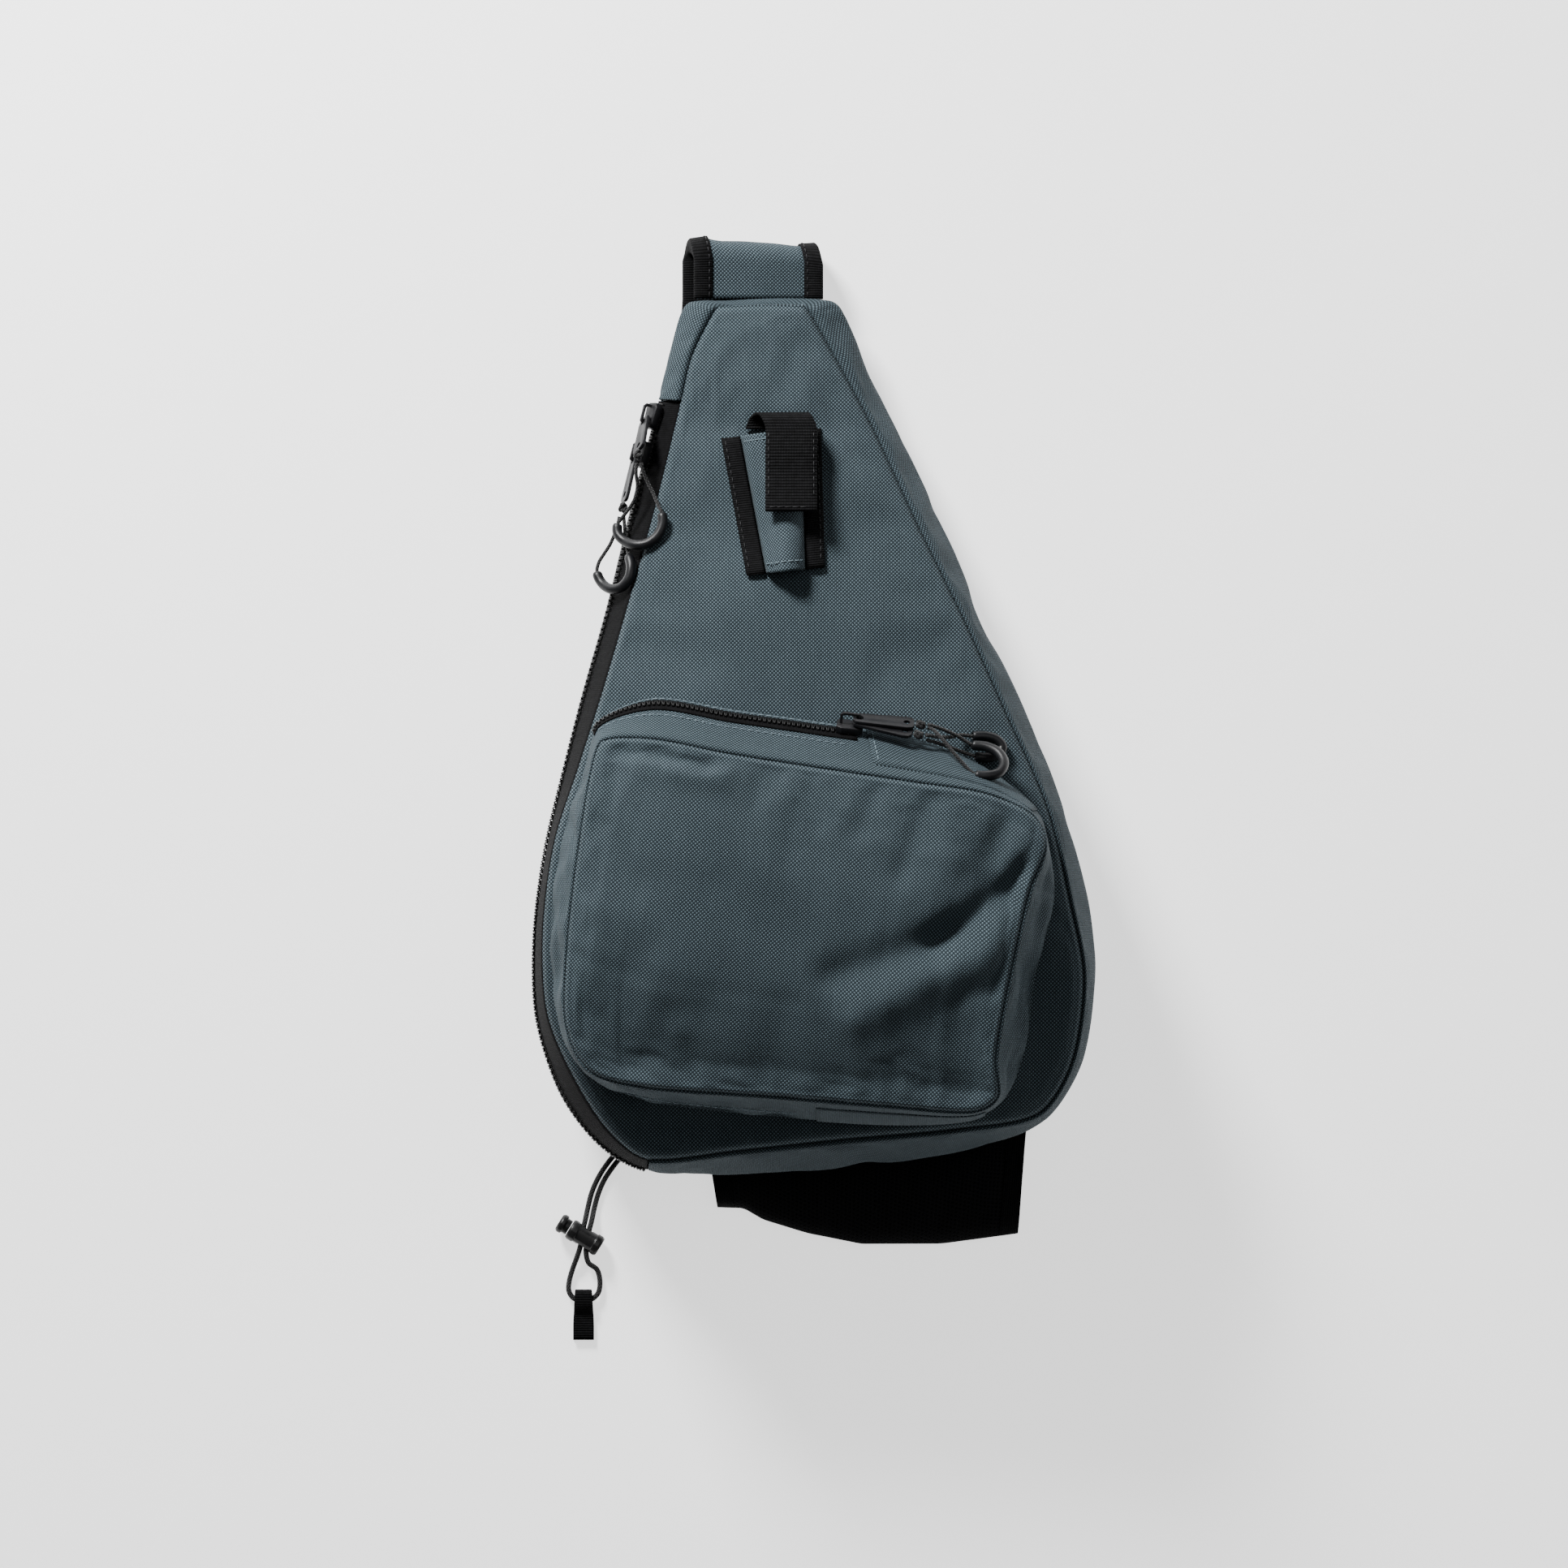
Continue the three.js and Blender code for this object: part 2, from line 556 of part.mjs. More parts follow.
// Back panel: flat on the floor but for the channel over the strap
const backRim = stationRows.map((row) => bodySide(row, 0));
const backHeight = (point) => backLift(point.x, point.y) + WALL;
const backMiddle = v3(panelMiddle.x, panelMiddle.y, backHeight(panelMiddle));
const backRings = panelRings(backRim, BACK_RING_SHARES, backHeight);
const backPanel = panelSolid(backRings, backMiddle, WALL);
addPart('back_panel', backPanel, FABRIC);

// Gusset: one strip over the top, right and foot, and the strip below the main zip
const sideShares = [0, 0.2, 0.4, 0.6, 0.8, 1];
const sideGrid = sidePatch(ZIP_HEAD_ROW + gapRow, ZIP_FOOT_ROW + rowCount - gapRow, sideShares);
addPart('side_gusset', clothSolid(sideGrid, offsetGrid(sideGrid, -WALL, false), false), FABRIC);

const lowerShares = [0, 0.14, 0.28, ZIP_LOWER_EDGE - 3 * gapShare];
const lowerGrid = sidePatch(ZIP_FOOT_ROW + gapRow, ZIP_HEAD_ROW - gapRow, lowerShares);
addPart('zip_gusset', clothSolid(lowerGrid, offsetGrid(lowerGrid, -WALL, false), false), FABRIC);

// Main zip: black tape with its coil as a ridge
const coilShares = [-ZIP_COIL_HALF_SHARE, 0, ZIP_COIL_HALF_SHARE].map((step) => ZIP_COIL_LINE + step);
const zipShares = [ZIP_LOWER_EDGE, 0.56, ...coilShares, 0.86, 1];
const zipGrid = sidePatch(ZIP_FOOT_ROW + gapRow, ZIP_HEAD_ROW - gapRow, zipShares);
const coilColumn = zipShares.indexOf(ZIP_COIL_LINE);
const zipOuter = offsetGrid(zipGrid, (_, n) => (n === coilColumn ? ZIP_COIL_RISE : 0), false);
const mainZip = clothSolid(zipOuter, offsetGrid(zipGrid, -ZIP_TAPE, false), false);
addPart('main_zip', mainZip, BLACK_TAPE);

// The pocket's side wall at a row of its table: from where it is sewn on (0) to its face (1)
function pocketSide(row, share) {
  const here = smoothRow(POCKET_EDGE, row);
  const foot = v3(placeX(here.side), placeY(here.up), 0);
  const edge = v3(placeX(here.faceSide), placeY(here.faceUp), 0);
  foot.z = topOf(frontPanel, foot.x, foot.y) + SEAT_GAP;
  edge.z = foot.z + POCKET_DEPTH * here.lift - POCKET_WALL - GAP;
  const point = foot.clone().lerp(edge, share ** 1.7);
  point.z = mix(foot.z, edge.z, share);
  return point;
}

const pocketRows = POCKET_EDGE.length;
const pocketStations = Array.from(
  { length: pocketRows * STATIONS_PER_ROW }, (_, k) => k / STATIONS_PER_ROW);
const pocketShares = [0, 0.25, 0.5, 0.75, 1];
const pocketGrid = pocketStations.map((row) => pocketShares.map((share) => pocketSide(row, share)));
const pocketInner = offsetGrid(pocketGrid, -POCKET_WALL, true);
pocketInner.forEach((row) => {
  row[0].z = topOf(frontPanel, row[0].x, row[0].y) + SEAT_GAP;
});
addPart('pocket_gusset', clothSolid(pocketGrid, pocketInner, true), FABRIC);

function distanceToLine(point, from, to) {
  const line = new THREE.Line3(from, to);
  const flat = v3(point.x, point.y, 0);
  return line.closestPointToPoint(flat, true, v3()).distanceTo(flat);
}

function pocketCrease(point) {
  return POCKET_CREASES.reduce((sum, crease) => {
    const from = v3(placeX(crease.side), placeY(crease.up), 0);
    const to = v3(placeX(crease.toSide), placeY(crease.toUp), 0);
    const away = distanceToLine(point, from, to) / placeX(crease.wide);
    return sum + POCKET_CROWN * crease.deep * Math.exp(-away * away);
  }, 0);
}

// Pocket face: a slack crowned panel with its main creases
const pocketRim = pocketGrid.map((row) => row.at(-1));
const pocketMiddle = v3(placeX(POCKET_MIDDLE_SIDE), placeY(POCKET_MIDDLE_UP), 0);
const rimMeanZ = pocketRim.reduce((sum, point) => sum + point.z, 0) / pocketRim.length;
const faceHeight = (point, share, edge) => mix(rimMeanZ + POCKET_CROWN, edge.z, share ** 1.5)
  + GAP + POCKET_WALL - pocketCrease(point) * (1 - share ** 4);
const pocketRings = POCKET_RING_SHARES.map((share) => pocketRim.map((edge) => {
  const point = pocketMiddle.clone().lerp(edge, share);
  point.z = faceHeight(point, share, edge);
  return point;
}));
pocketMiddle.z = faceHeight(pocketMiddle, 0, pocketRim[0]);
const pocketFace = panelSolid(pocketRings, pocketMiddle, POCKET_WALL);
addPart('pocket_front', pocketFace, FABRIC);

// Pocket zip on the top wall of the pocket
const pocketZipStations = pocketGrid.slice(
  POCKET_ZIP_FIRST_ROW * STATIONS_PER_ROW, POCKET_ZIP_LAST_ROW * STATIONS_PER_ROW + 1);
const pocketZipGrid = pocketZipStations.map((row) => [-0.5, 0, 0.5].map(
  (step) => row[POCKET_ZIP_COLUMN].clone()
    .lerp(row[POCKET_ZIP_COLUMN + 1], 0.5 + step * POCKET_ZIP_WIDTH_SHARE)));
const pocketZip = clothSolid(
  offsetGrid(pocketZipGrid, GAP + POCKET_ZIP_RISE, false),
  offsetGrid(pocketZipGrid, GAP * 2, false), false);
addPart('pocket_zip', pocketZip, BLACK_TAPE);

// Tool holster: an open arch between two bindings, with a webbing flap over its mouth
const holsterTop = v3(placeX(HOLSTER_TOP_SIDE), placeY(HOLSTER_TOP_UP), 0);
const holsterAlong = v3(Math.sin(HOLSTER_TILT), -Math.cos(HOLSTER_TILT), 0);
const holsterAcross = v3(Math.cos(HOLSTER_TILT), Math.sin(HOLSTER_TILT), 0);

// Place at a height over the front panel, clear of it for a width to either side
function onPanel(point, high, halfWidth = 0) {
  const under = [-halfWidth, 0, halfWidth].map((step) => topOf(frontPanel, point.x + step, point.y));
  return v3(point.x, point.y, Math.max(...under) + SEAT_GAP + high);
}

function holsterPoint(down, across, high) {
  const point = holsterTop.clone().addScaledVector(holsterAlong, down * HOLSTER_LENGTH)
    .addScaledVector(holsterAcross, across);
  return onPanel(point, high);
}

const holsterSteps = [0, 0.25, 0.5, 0.75, 1];
const holsterHalf = (down) => mix(HOLSTER_TOP_WIDTH, HOLSTER_FOOT_WIDTH, down) / 2;
const archHalf = (down) => holsterHalf(down) - BINDING_WIDTH - GAP;

function archGrid(inset) {
  const archSteps = 8;
  return holsterSteps.map((down) => Array.from({ length: archSteps + 1 }, (_, k) => {
    const angle = Math.PI * k / archSteps;
    const across = -(archHalf(down) - inset) * Math.cos(angle);
    return holsterPoint(down, across, (HOLSTER_HEIGHT - inset) * Math.sin(angle));
  }));
}
addPart('holster_sleeve', clothSolid(archGrid(0), archGrid(HOLSTER_WALL), false), FABRIC);

[['left', -1], ['right', 1]].forEach(([name, way]) => {
  const edges = holsterSteps.map((down) => [holsterHalf(down) - BINDING_WIDTH, holsterHalf(down)]);
  const layer = (high) => holsterSteps.map((down, k) => edges[k].map(
    (across) => holsterPoint(down, way * across, high)));
  const binding = clothSolid(layer(HOLSTER_BINDING_THICKNESS), layer(0), false);
  addPart(`holster_binding_${name}`, binding, BLACK_WEBBING);
});

const flapHigh = HOLSTER_HEIGHT + GAP + FLAP_THICKNESS;
const flapPoint = (out, high, shift) => onPanel(
  v3(holsterTop.x + FLAP_SHIFT * shift, holsterTop.y + out, 0), high * flapHigh, FLAP_WIDTH / 2);
const flapPath = FLAP_LOOP.map((row) => flapPoint(row.out * FLAP_REACH, row.high, row.shift));
[0.25, 0.5, 0.75, 1].forEach((share) => flapPath.push(flapPoint(-share * FLAP_DROP, 1, 1)));
const flapSection = () => slab(-FLAP_WIDTH / 2, FLAP_WIDTH / 2, -FLAP_THICKNESS / 2, FLAP_THICKNESS / 2);
addPart('holster_flap', ribbon(flapPath, v3(1, 0, 0), flapSection), BLACK_WEBBING);

// Shoulder strap: out of the top end, folded down and back under the bag
const foldY = strapRootY + STRAP_FOLD_REACH - STRAP_FOLD_RADIUS - strapBaseZ;
const strapTopZ = strapBaseZ + 2 * STRAP_FOLD_RADIUS;
const strapPath = [0, 0.5, 1].map(
  (share) => v3(strapRootX, mix(strapRootY + 2 * GAP, foldY, share), strapTopZ));
const foldSteps = 6;
for (let k = 1; k <= foldSteps; k += 1) {
  const angle = Math.PI * (0.5 - k / foldSteps);
  strapPath.push(v3(
    mix(strapRootX, strapReturnX(foldY), k / foldSteps),
    foldY + STRAP_FOLD_RADIUS * Math.cos(angle),
    strapBaseZ + STRAP_FOLD_RADIUS * (1 + Math.sin(angle))));
}
const runSteps = 8;
for (let k = 1; k <= runSteps; k += 1) {
  const y = mix(foldY, padEndY, k / runSteps);
  strapPath.push(v3(strapReturnX(y), y, strapBaseZ));
}
const turned = 3 + foldSteps;
function strapHalf(k) {
  const taper = k < turned ? 0 : smoothStep(padEndY + STRAP_TAPER, padEndY, strapPath[k].y);
  return mix(STRAP_WIDTH, STRAP_END_WIDTH, taper) / 2;
}
const strapCore = STRAP_THICKNESS / 2;
const coreHalf = (k) => strapHalf(k) - BINDING_THICKNESS - GAP;
const strapSide = v3(1, 0, 0);
const fabricLayer = (k) => slab(-coreHalf(k), coreHalf(k), GAP / 2, strapCore);
const liningLayer = (k) => slab(-coreHalf(k), coreHalf(k), -strapCore, -GAP / 2);
addPart('shoulder_strap', ribbon(strapPath, strapSide, fabricLayer), FABRIC);
addPart('strap_lining', ribbon(strapPath, strapSide, liningLayer), BLACK_MESH);

[['left', -1], ['right', 1]].forEach(([name, way]) => {
  const channel = (k) => {
    const edge = strapHalf(k);
    const lip = edge - BINDING_WIDTH;
    const inner = edge - BINDING_THICKNESS;
    const room = strapCore + GAP;
    const outline = [
      [lip, -strapBaseZ], [edge, -strapBaseZ], [edge, strapBaseZ], [lip, strapBaseZ],
      [lip, room], [inner, room], [inner, -room], [lip, -room],
    ];
    return outline.map(([across, through]) => [way * across, through]);
  };
  addPart(`strap_binding_${name}`, ribbon(strapPath, strapSide, channel), BLACK_WEBBING);
});

// Adjuster with two slots, and the webbing that passes through it and back on itself
const adjusterHalf = ADJUSTER_SLOT + 1.5 * ADJUSTER_BAR;
const adjusterY = padEndY - GAP - adjusterHalf;
const adjusterSide = WEBBING_WIDTH / 2 + ADJUSTER_RIM + 2;
const box2 = (halfX, lowY, highY) => [
  new THREE.Vector2(-halfX, lowY), new THREE.Vector2(halfX, lowY),
  new THREE.Vector2(halfX, highY), new THREE.Vector2(-halfX, highY)];
const adjusterShape = new THREE.Shape(box2(adjusterSide, -adjusterHalf, adjusterHalf));
const slotLow = ADJUSTER_BAR / 2;
[[slotLow, slotLow + ADJUSTER_SLOT], [-slotLow - ADJUSTER_SLOT, -slotLow]].forEach(([low, high]) => {
  adjusterShape.holes.push(new THREE.Path(box2(adjusterSide - ADJUSTER_RIM, low, high)));
});
const adjusterSolid = new THREE.ExtrudeGeometry(
  adjusterShape, { depth: ADJUSTER_THICKNESS, bevelEnabled: false });
adjusterSolid.translate(strapReturnX(adjusterY), adjusterY, adjusterZ);
addPart('strap_adjuster', adjusterSolid, BLACK_WEBBING, 0.45);

const slotAt = slotLow + ADJUSTER_SLOT / 2;
const webbingRise = mix(webbingRunZ, webbingTurnZ, 0.5);
const webbingTurn = [
  [adjusterY - WEBBING_TAIL, tailZ], [adjusterY - slotAt, tailZ], [adjusterY + slotAt * 0.6, tailZ],
  [adjusterY + slotAt, tailZ + WEBBING_THICKNESS * 0.6], [adjusterY + slotAt, webbingRise],
  [adjusterY + slotAt * 0.8, webbingTurnZ - 0.35], [adjusterY + slotAt * 0.35, webbingTurnZ],
  [adjusterY - slotAt * 0.35, webbingTurnZ], [adjusterY - slotAt * 0.8, webbingTurnZ - 0.35],
  [adjusterY - slotAt, webbingRise], [adjusterY - slotAt, webbingRunZ + WEBBING_THICKNESS * 0.6],
  [adjusterY - slotAt * 1.4, webbingRunZ], [adjusterY - WEBBING_TAIL, webbingRunZ],
];
const webbingPath = webbingTurn.map(([y, z]) => v3(strapReturnX(y), y, z));
const webbingEndX = strapReturnX(webbingEndY);
const overWebbingEnd = [-0.5, 0, 0.5].map(
  (step) => undersideOf(backPanel, webbingEndX + step * WEBBING_WIDTH, webbingEndY));
const webbingEndZ = Math.min(...overWebbingEnd) - SEAT_GAP - WEBBING_THICKNESS / 2;
webbingPath.push(v3(webbingEndX, webbingEndY, webbingEndZ));
const webbingSection = () => slab(
  -WEBBING_WIDTH / 2, WEBBING_WIDTH / 2, -WEBBING_THICKNESS / 2, WEBBING_THICKNESS / 2);
addPart('strap_webbing', ribbon(webbingPath, strapSide, webbingSection), BLACK_WEBBING);

// Mesh sleeve sewn into the foot, open at both ends, with a hem band round each opening
function footSeamY(x) {
  const crossings = backRim.map((point, k) => {
    const next = backRim[(k + 1) % backRim.length];
    const share = (x - point.x) / (next.x - point.x);
    return share >= 0 && share <= 1 ? mix(point.y, next.y, share) : Infinity;
  });
  return Math.min(...crossings) - 3 * GAP;
}

function sleeveRow(run) {
  const read = (column) => readColumn(SLEEVE_SIDES, 'run', column, run);
  const rootX = placeX(read('rootSide'));
  const root = v3(rootX, footSeamY(rootX) - 2 * GAP, 0);
  const tip = v3(placeX(read('tipSide')), BAG_FOOT_Y - read('reach') * SLEEVE_REACH, 0);
  return SLEEVE_PROFILE.map((row) => {
    const point = root.clone().lerp(tip, row.out);
    point.z = SLEEVE_HEIGHT * row.high;
    return point;
  });
}

function sleeveCloth(firstRun, lastRun, steps, wall) {
  const outer = Array.from(
    { length: steps + 1 }, (_, k) => sleeveRow(mix(firstRun, lastRun, k / steps)));
  return clothSolid(outer, offsetGrid(outer, -wall, false), false);
}
const sleeveRun = placeX(SLEEVE_SIDES.at(-1).tipSide - SLEEVE_SIDES[0].tipSide);
const hemShare = SLEEVE_HEM_WIDTH / sleeveRun;
const hemGap = GAP / sleeveRun;
const meshFrom = hemShare + hemGap;
addPart('mesh_sleeve', sleeveCloth(meshFrom, 1 - meshFrom, 12, SLEEVE_WALL), BLACK_MESH);
addPart('sleeve_hem_left', sleeveCloth(0, hemShare, 1, SLEEVE_HEM_WALL), BLACK_WEBBING);
addPart('sleeve_hem_right', sleeveCloth(1 - hemShare, 1, 1, SLEEVE_HEM_WALL), BLACK_WEBBING);

// Tube along a curve through a route's points
const curveThrough = (route) => new THREE.CatmullRomCurve3(route.map((point) => v3(...point)));

function tube(route, diameter, steps, sides = 8) {
  const curve = curveThrough(route);
  const ring = new THREE.Shape(Array.from({ length: sides }, (_, k) => {
    const angle = 2 * Math.PI * k / sides;
    return new THREE.Vector2(Math.cos(angle), Math.sin(angle)).multiplyScalar(diameter / 2);
  }));
  const geometry = new THREE.ExtrudeGeometry(ring, { steps, extrudePath: curve, bevelEnabled: false });
  geometry.deleteAttribute('normal');
  geometry.deleteAttribute('uv');
  return mergeVertices(geometry, 1e-4);
}
addPart('drawcord', tube(DRAWCORD_ROUTE, DRAWCORD_DIAMETER, 38), BLACK_WEBBING);

// Cord lock: a barrel with a slot for the two strands, and its push button
const wasm = await Module();
wasm.setup();

function solidOf(geometry) {
  const bare = new THREE.BufferGeometry();
  bare.setAttribute('position', geometry.getAttribute('position').clone());
  if (geometry.getIndex()) bare.setIndex(geometry.getIndex().clone());
  const merged = mergeVertices(bare, 1e-4);
  return new wasm.Manifold(new wasm.Mesh({
    numProp: 3,
    vertProperties: Float32Array.from(merged.getAttribute('position').array),
    triVerts: Uint32Array.from(merged.getIndex().array),
  }));
}

function geometryOf(solid) {
  const mesh = solid.getMesh();
  const geometry = new THREE.BufferGeometry();
  geometry.setAttribute('position', new THREE.Float32BufferAttribute(mesh.vertProperties, 3));
  geometry.setIndex(Array.from(mesh.triVerts));
  geometry.computeVertexNormals();
  return geometry;
}

function lathe(profile, sides) {
  const points = profile.map(([radius, along]) => new THREE.Vector2(radius, along));
  return new THREE.LatheGeometry(points, sides);
}

const lockFrame = new THREE.Matrix4().makeRotationZ(LOCK_ANGLE - Math.PI / 2)
  .setPosition(LOCK_PLACE[0], LOCK_PLACE[1], LOCK_RADIUS);
const lockHalf = LOCK_LENGTH / 2;
const barrel = lathe([
  [0, -lockHalf], [LOCK_RADIUS * 0.9, -lockHalf], [LOCK_RADIUS, -lockHalf * 0.86],
  [LOCK_RADIUS, -lockHalf * 0.55], [LOCK_RADIUS * 0.9, -lockHalf * 0.5],
  [LOCK_RADIUS * 0.9, lockHalf * 0.55], [LOCK_RADIUS, lockHalf * 0.6],
  [LOCK_RADIUS, lockHalf * 0.86], [LOCK_RADIUS * 0.86, lockHalf], [0, lockHalf],
], 12).applyMatrix4(lockFrame);
const holeHigh = DRAWCORD_DIAMETER + 2 * LOCK_HOLE_CLEARANCE;
const holeWide = 2 * DRAWCORD_DIAMETER + 4 * LOCK_HOLE_CLEARANCE + GAP;
const lockHole = new THREE.BoxGeometry(holeWide, 4 * LOCK_RADIUS, holeHigh)
  .applyMatrix4(new THREE.Matrix4().makeRotationZ(LOCK_HOLE_ANGLE)
    .setPosition(LOCK_PLACE[0], LOCK_PLACE[1], LOCK_RADIUS));
addPart('cord_lock_barrel', geometryOf(solidOf(barrel).subtract(solidOf(lockHole))), BLACK_WEBBING, 0.4);

const buttonFoot = -lockHalf - GAP;
const button = lathe([
  [0, buttonFoot - LOCK_BUTTON_LENGTH], [LOCK_BUTTON_RADIUS * 0.8, buttonFoot - LOCK_BUTTON_LENGTH],
  [LOCK_BUTTON_RADIUS, buttonFoot - LOCK_BUTTON_LENGTH * 0.8],
  [LOCK_BUTTON_RADIUS, buttonFoot - LOCK_BUTTON_LENGTH * 0.5],
  [LOCK_BUTTON_RADIUS * 0.8, buttonFoot - LOCK_BUTTON_LENGTH * 0.4],
  [LOCK_BUTTON_RADIUS * 0.8, buttonFoot], [0, buttonFoot],
], 12).applyMatrix4(lockFrame);
addPart('cord_lock_button', button, BLACK_WEBBING, 0.4);

// End tab: webbing folded round the drawcord's loop
const tabTop = DRAWCORD_DIAMETER + 1.5 * TAB_THICKNESS + 3 * GAP;
const tabHigh = tabTop / TAB_FOLD_TOP;
const tabPath = TAB_FOLD.map(([down, high]) => v3(
  TAB_PLACE[0], TAB_PLACE[1] - down, TAB_THICKNESS * 0.05 + high * tabHigh));
const tabSection = () => slab(-TAB_WIDTH / 2, TAB_WIDTH / 2, -TAB_THICKNESS / 2, TAB_THICKNESS / 2);
addPart('cord_tab', ribbon(tabPath, v3(1, 0, 0), tabSection), BLACK_WEBBING);

// A slider's frame on a zip: towards its pull, across, and out from the cloth
function zipFrame(surface, row, line, toward) {
  const place = surface(row, line);
  const along = surface(row + 0.1 * toward, line).sub(surface(row - 0.1 * toward, line)).normalize();
  const across = surface(row, line + 0.05 * -toward).sub(surface(row, line - 0.05 * -toward));
  const out = along.clone().cross(across).normalize();
  return { place, along, across: out.clone().cross(along), out };
}

const basis = (frame, lift) => new THREE.Matrix4()
  .makeBasis(frame.along, frame.across, frame.out)
  .setPosition(frame.place.clone().addScaledVector(frame.out, lift));

const sliderOutline = SLIDER_OUTLINE.map(
  ([along, across]) => new THREE.Vector2(along * SLIDER_LENGTH, across * SLIDER_WIDTH));

// Height over the slider's foot of the lowest pull tab's middle, and of the bail's inner top
const pullMid = SLIDER_BODY + GAP + PULL_THICKNESS * 1.15;
const pullPitchRoom = PULL_THICKNESS + GAP;
const bailRoom = (pulls) => pullMid + pullPitchRoom * (pulls - 0.3);

function addSlider(name, frame, lift, pulls) {
  const body = new THREE.ExtrudeGeometry(
    new THREE.Shape(sliderOutline), { depth: SLIDER_BODY, bevelEnabled: false });
  const foot = SLIDER_BODY / 2;
  const high = bailRoom(pulls);
  const outer = BAIL_LEG + BAIL_WIRE / 2;
  const inner = BAIL_LEG - BAIL_WIRE / 2;
  const arch = new THREE.Shape([
    [-outer, foot], [-inner, foot], [-inner, high * 0.9], [-inner * 0.7, high], [inner * 0.8, high],
    [inner, high * 0.95], [inner, foot], [outer, foot], [outer, high],
    [outer * 0.85, high + BAIL_WIRE], [-outer * 0.7, high + BAIL_WIRE], [-outer, high],
  ].map(([along, up]) => new THREE.Vector2(along, up)));
  const bail = new THREE.ExtrudeGeometry(arch, { depth: BAIL_WIRE, bevelEnabled: false })
    .translate(0, 0, -BAIL_WIRE / 2).rotateX(Math.PI / 2);
  const solid = solidOf(body).add(solidOf(bail));
  addPart(name, geometryOf(solid).applyMatrix4(basis(frame, lift)), BLACK_WEBBING, 0.4, 0.5);
}

// A pull tab hangs on its bail: swing turns it on the cloth, pitch lifts its end, roll tips its side
function addPull(name, frame, lift, length, attitude) {
  const tip = length - PULL_EDGE;
  const outline = [
    [-PULL_EDGE, 0.55], [-PULL_EDGE * 0.6, 0.9], [0, 1],
    [tip * 0.86, 1], [tip * 0.96, 0.86], [tip, 0.5],
  ];
  const halfAt = (along) => mix(PULL_HEAD_WIDTH, PULL_FOOT_WIDTH, (along + PULL_EDGE) / length) / 2;
  const right = outline.map(([along, share]) => new THREE.Vector2(along, halfAt(along) * share));
  const left = right.slice().reverse().map((point) => new THREE.Vector2(point.x, -point.y));
  const plate = new THREE.Shape([...right, ...left]);
  const farHole = tip - PULL_EDGE - 0.4;
  [[0, PULL_HOLE / 2], [farHole, PULL_HOLE * 0.43]].forEach(([along, radius]) => {
    plate.holes.push(new THREE.Path(Array.from({ length: 8 }, (_, k) => {
      const angle = 2 * Math.PI * (k + 0.5) / 8;
      return new THREE.Vector2(along + radius * Math.cos(angle), radius * Math.sin(angle));
    })));
  });
  const turn = new THREE.Matrix4().makeTranslation(BAIL_LEG, 0, 0)
    .multiply(new THREE.Matrix4().makeRotationZ(attitude.swing))
    .multiply(new THREE.Matrix4().makeRotationY(-attitude.pitch))
    .multiply(new THREE.Matrix4().makeRotationX(attitude.roll));
  const place = basis(frame, lift).multiply(turn);
  const tab = new THREE.ExtrudeGeometry(plate, { depth: PULL_THICKNESS, bevelEnabled: false })
    .translate(0, 0, -PULL_THICKNESS / 2).applyMatrix4(place);
  addPart(name, tab, BLACK_WEBBING, 0.4, 0.5);
  const knot = lathe([
    [0, tip + GAP], [KNOT_WIDTH * 0.35, tip + GAP], [KNOT_WIDTH / 2, tip + KNOT_LENGTH * 0.35],
    [KNOT_WIDTH / 2, tip + KNOT_LENGTH * 0.7],
    [KNOT_WIDTH * 0.3, tip + KNOT_LENGTH], [0, tip + KNOT_LENGTH],
  ], 8).rotateZ(-Math.PI / 2).applyMatrix4(place);
  addPart(name.replace('pull', 'pull_knot'), knot, BLACK_WEBBING);
}

const mainSliderLift = ZIP_COIL_RISE + GAP;
const MAIN_SLIDERS = [
  { name: 'upper', row: 25.8, swing: 0.62, pitch: 0.31, roll: 0.1 },
  { name: 'lower', row: 25.46, swing: 0.08, pitch: 0.02, roll: 0.3 },
];
MAIN_SLIDERS.forEach((slider) => {
  const frame = zipFrame(bodySide, slider.row, ZIP_COIL_LINE, -1);
  addSlider(`main_slider_${slider.name}`, frame, mainSliderLift, 1);
  addPull(`main_pull_${slider.name}`, frame, mainSliderLift + pullMid, PULL_LENGTH, slider);
});

const pocketSliderLift = POCKET_ZIP_RISE + 2 * GAP;
const pocketFrame = zipFrame(pocketSide, POCKET_SLIDER_ROW, POCKET_SLIDER_LINE, 1);
addSlider('pocket_slider', pocketFrame, pocketSliderLift, 2);
const POCKET_PULLS = [
  { name: 'lower', swing: -0.15, pitch: 0, roll: 0 },
  { name: 'upper', swing: 0.06, pitch: 0.01, roll: 0 },
];
POCKET_PULLS.forEach((pull, k) => {
  const lift = pocketSliderLift + pullMid + k * pullPitchRoom;
  addPull(`pocket_pull_${pull.name}`, pocketFrame, lift, POCKET_PULL_LENGTH, pull);
});

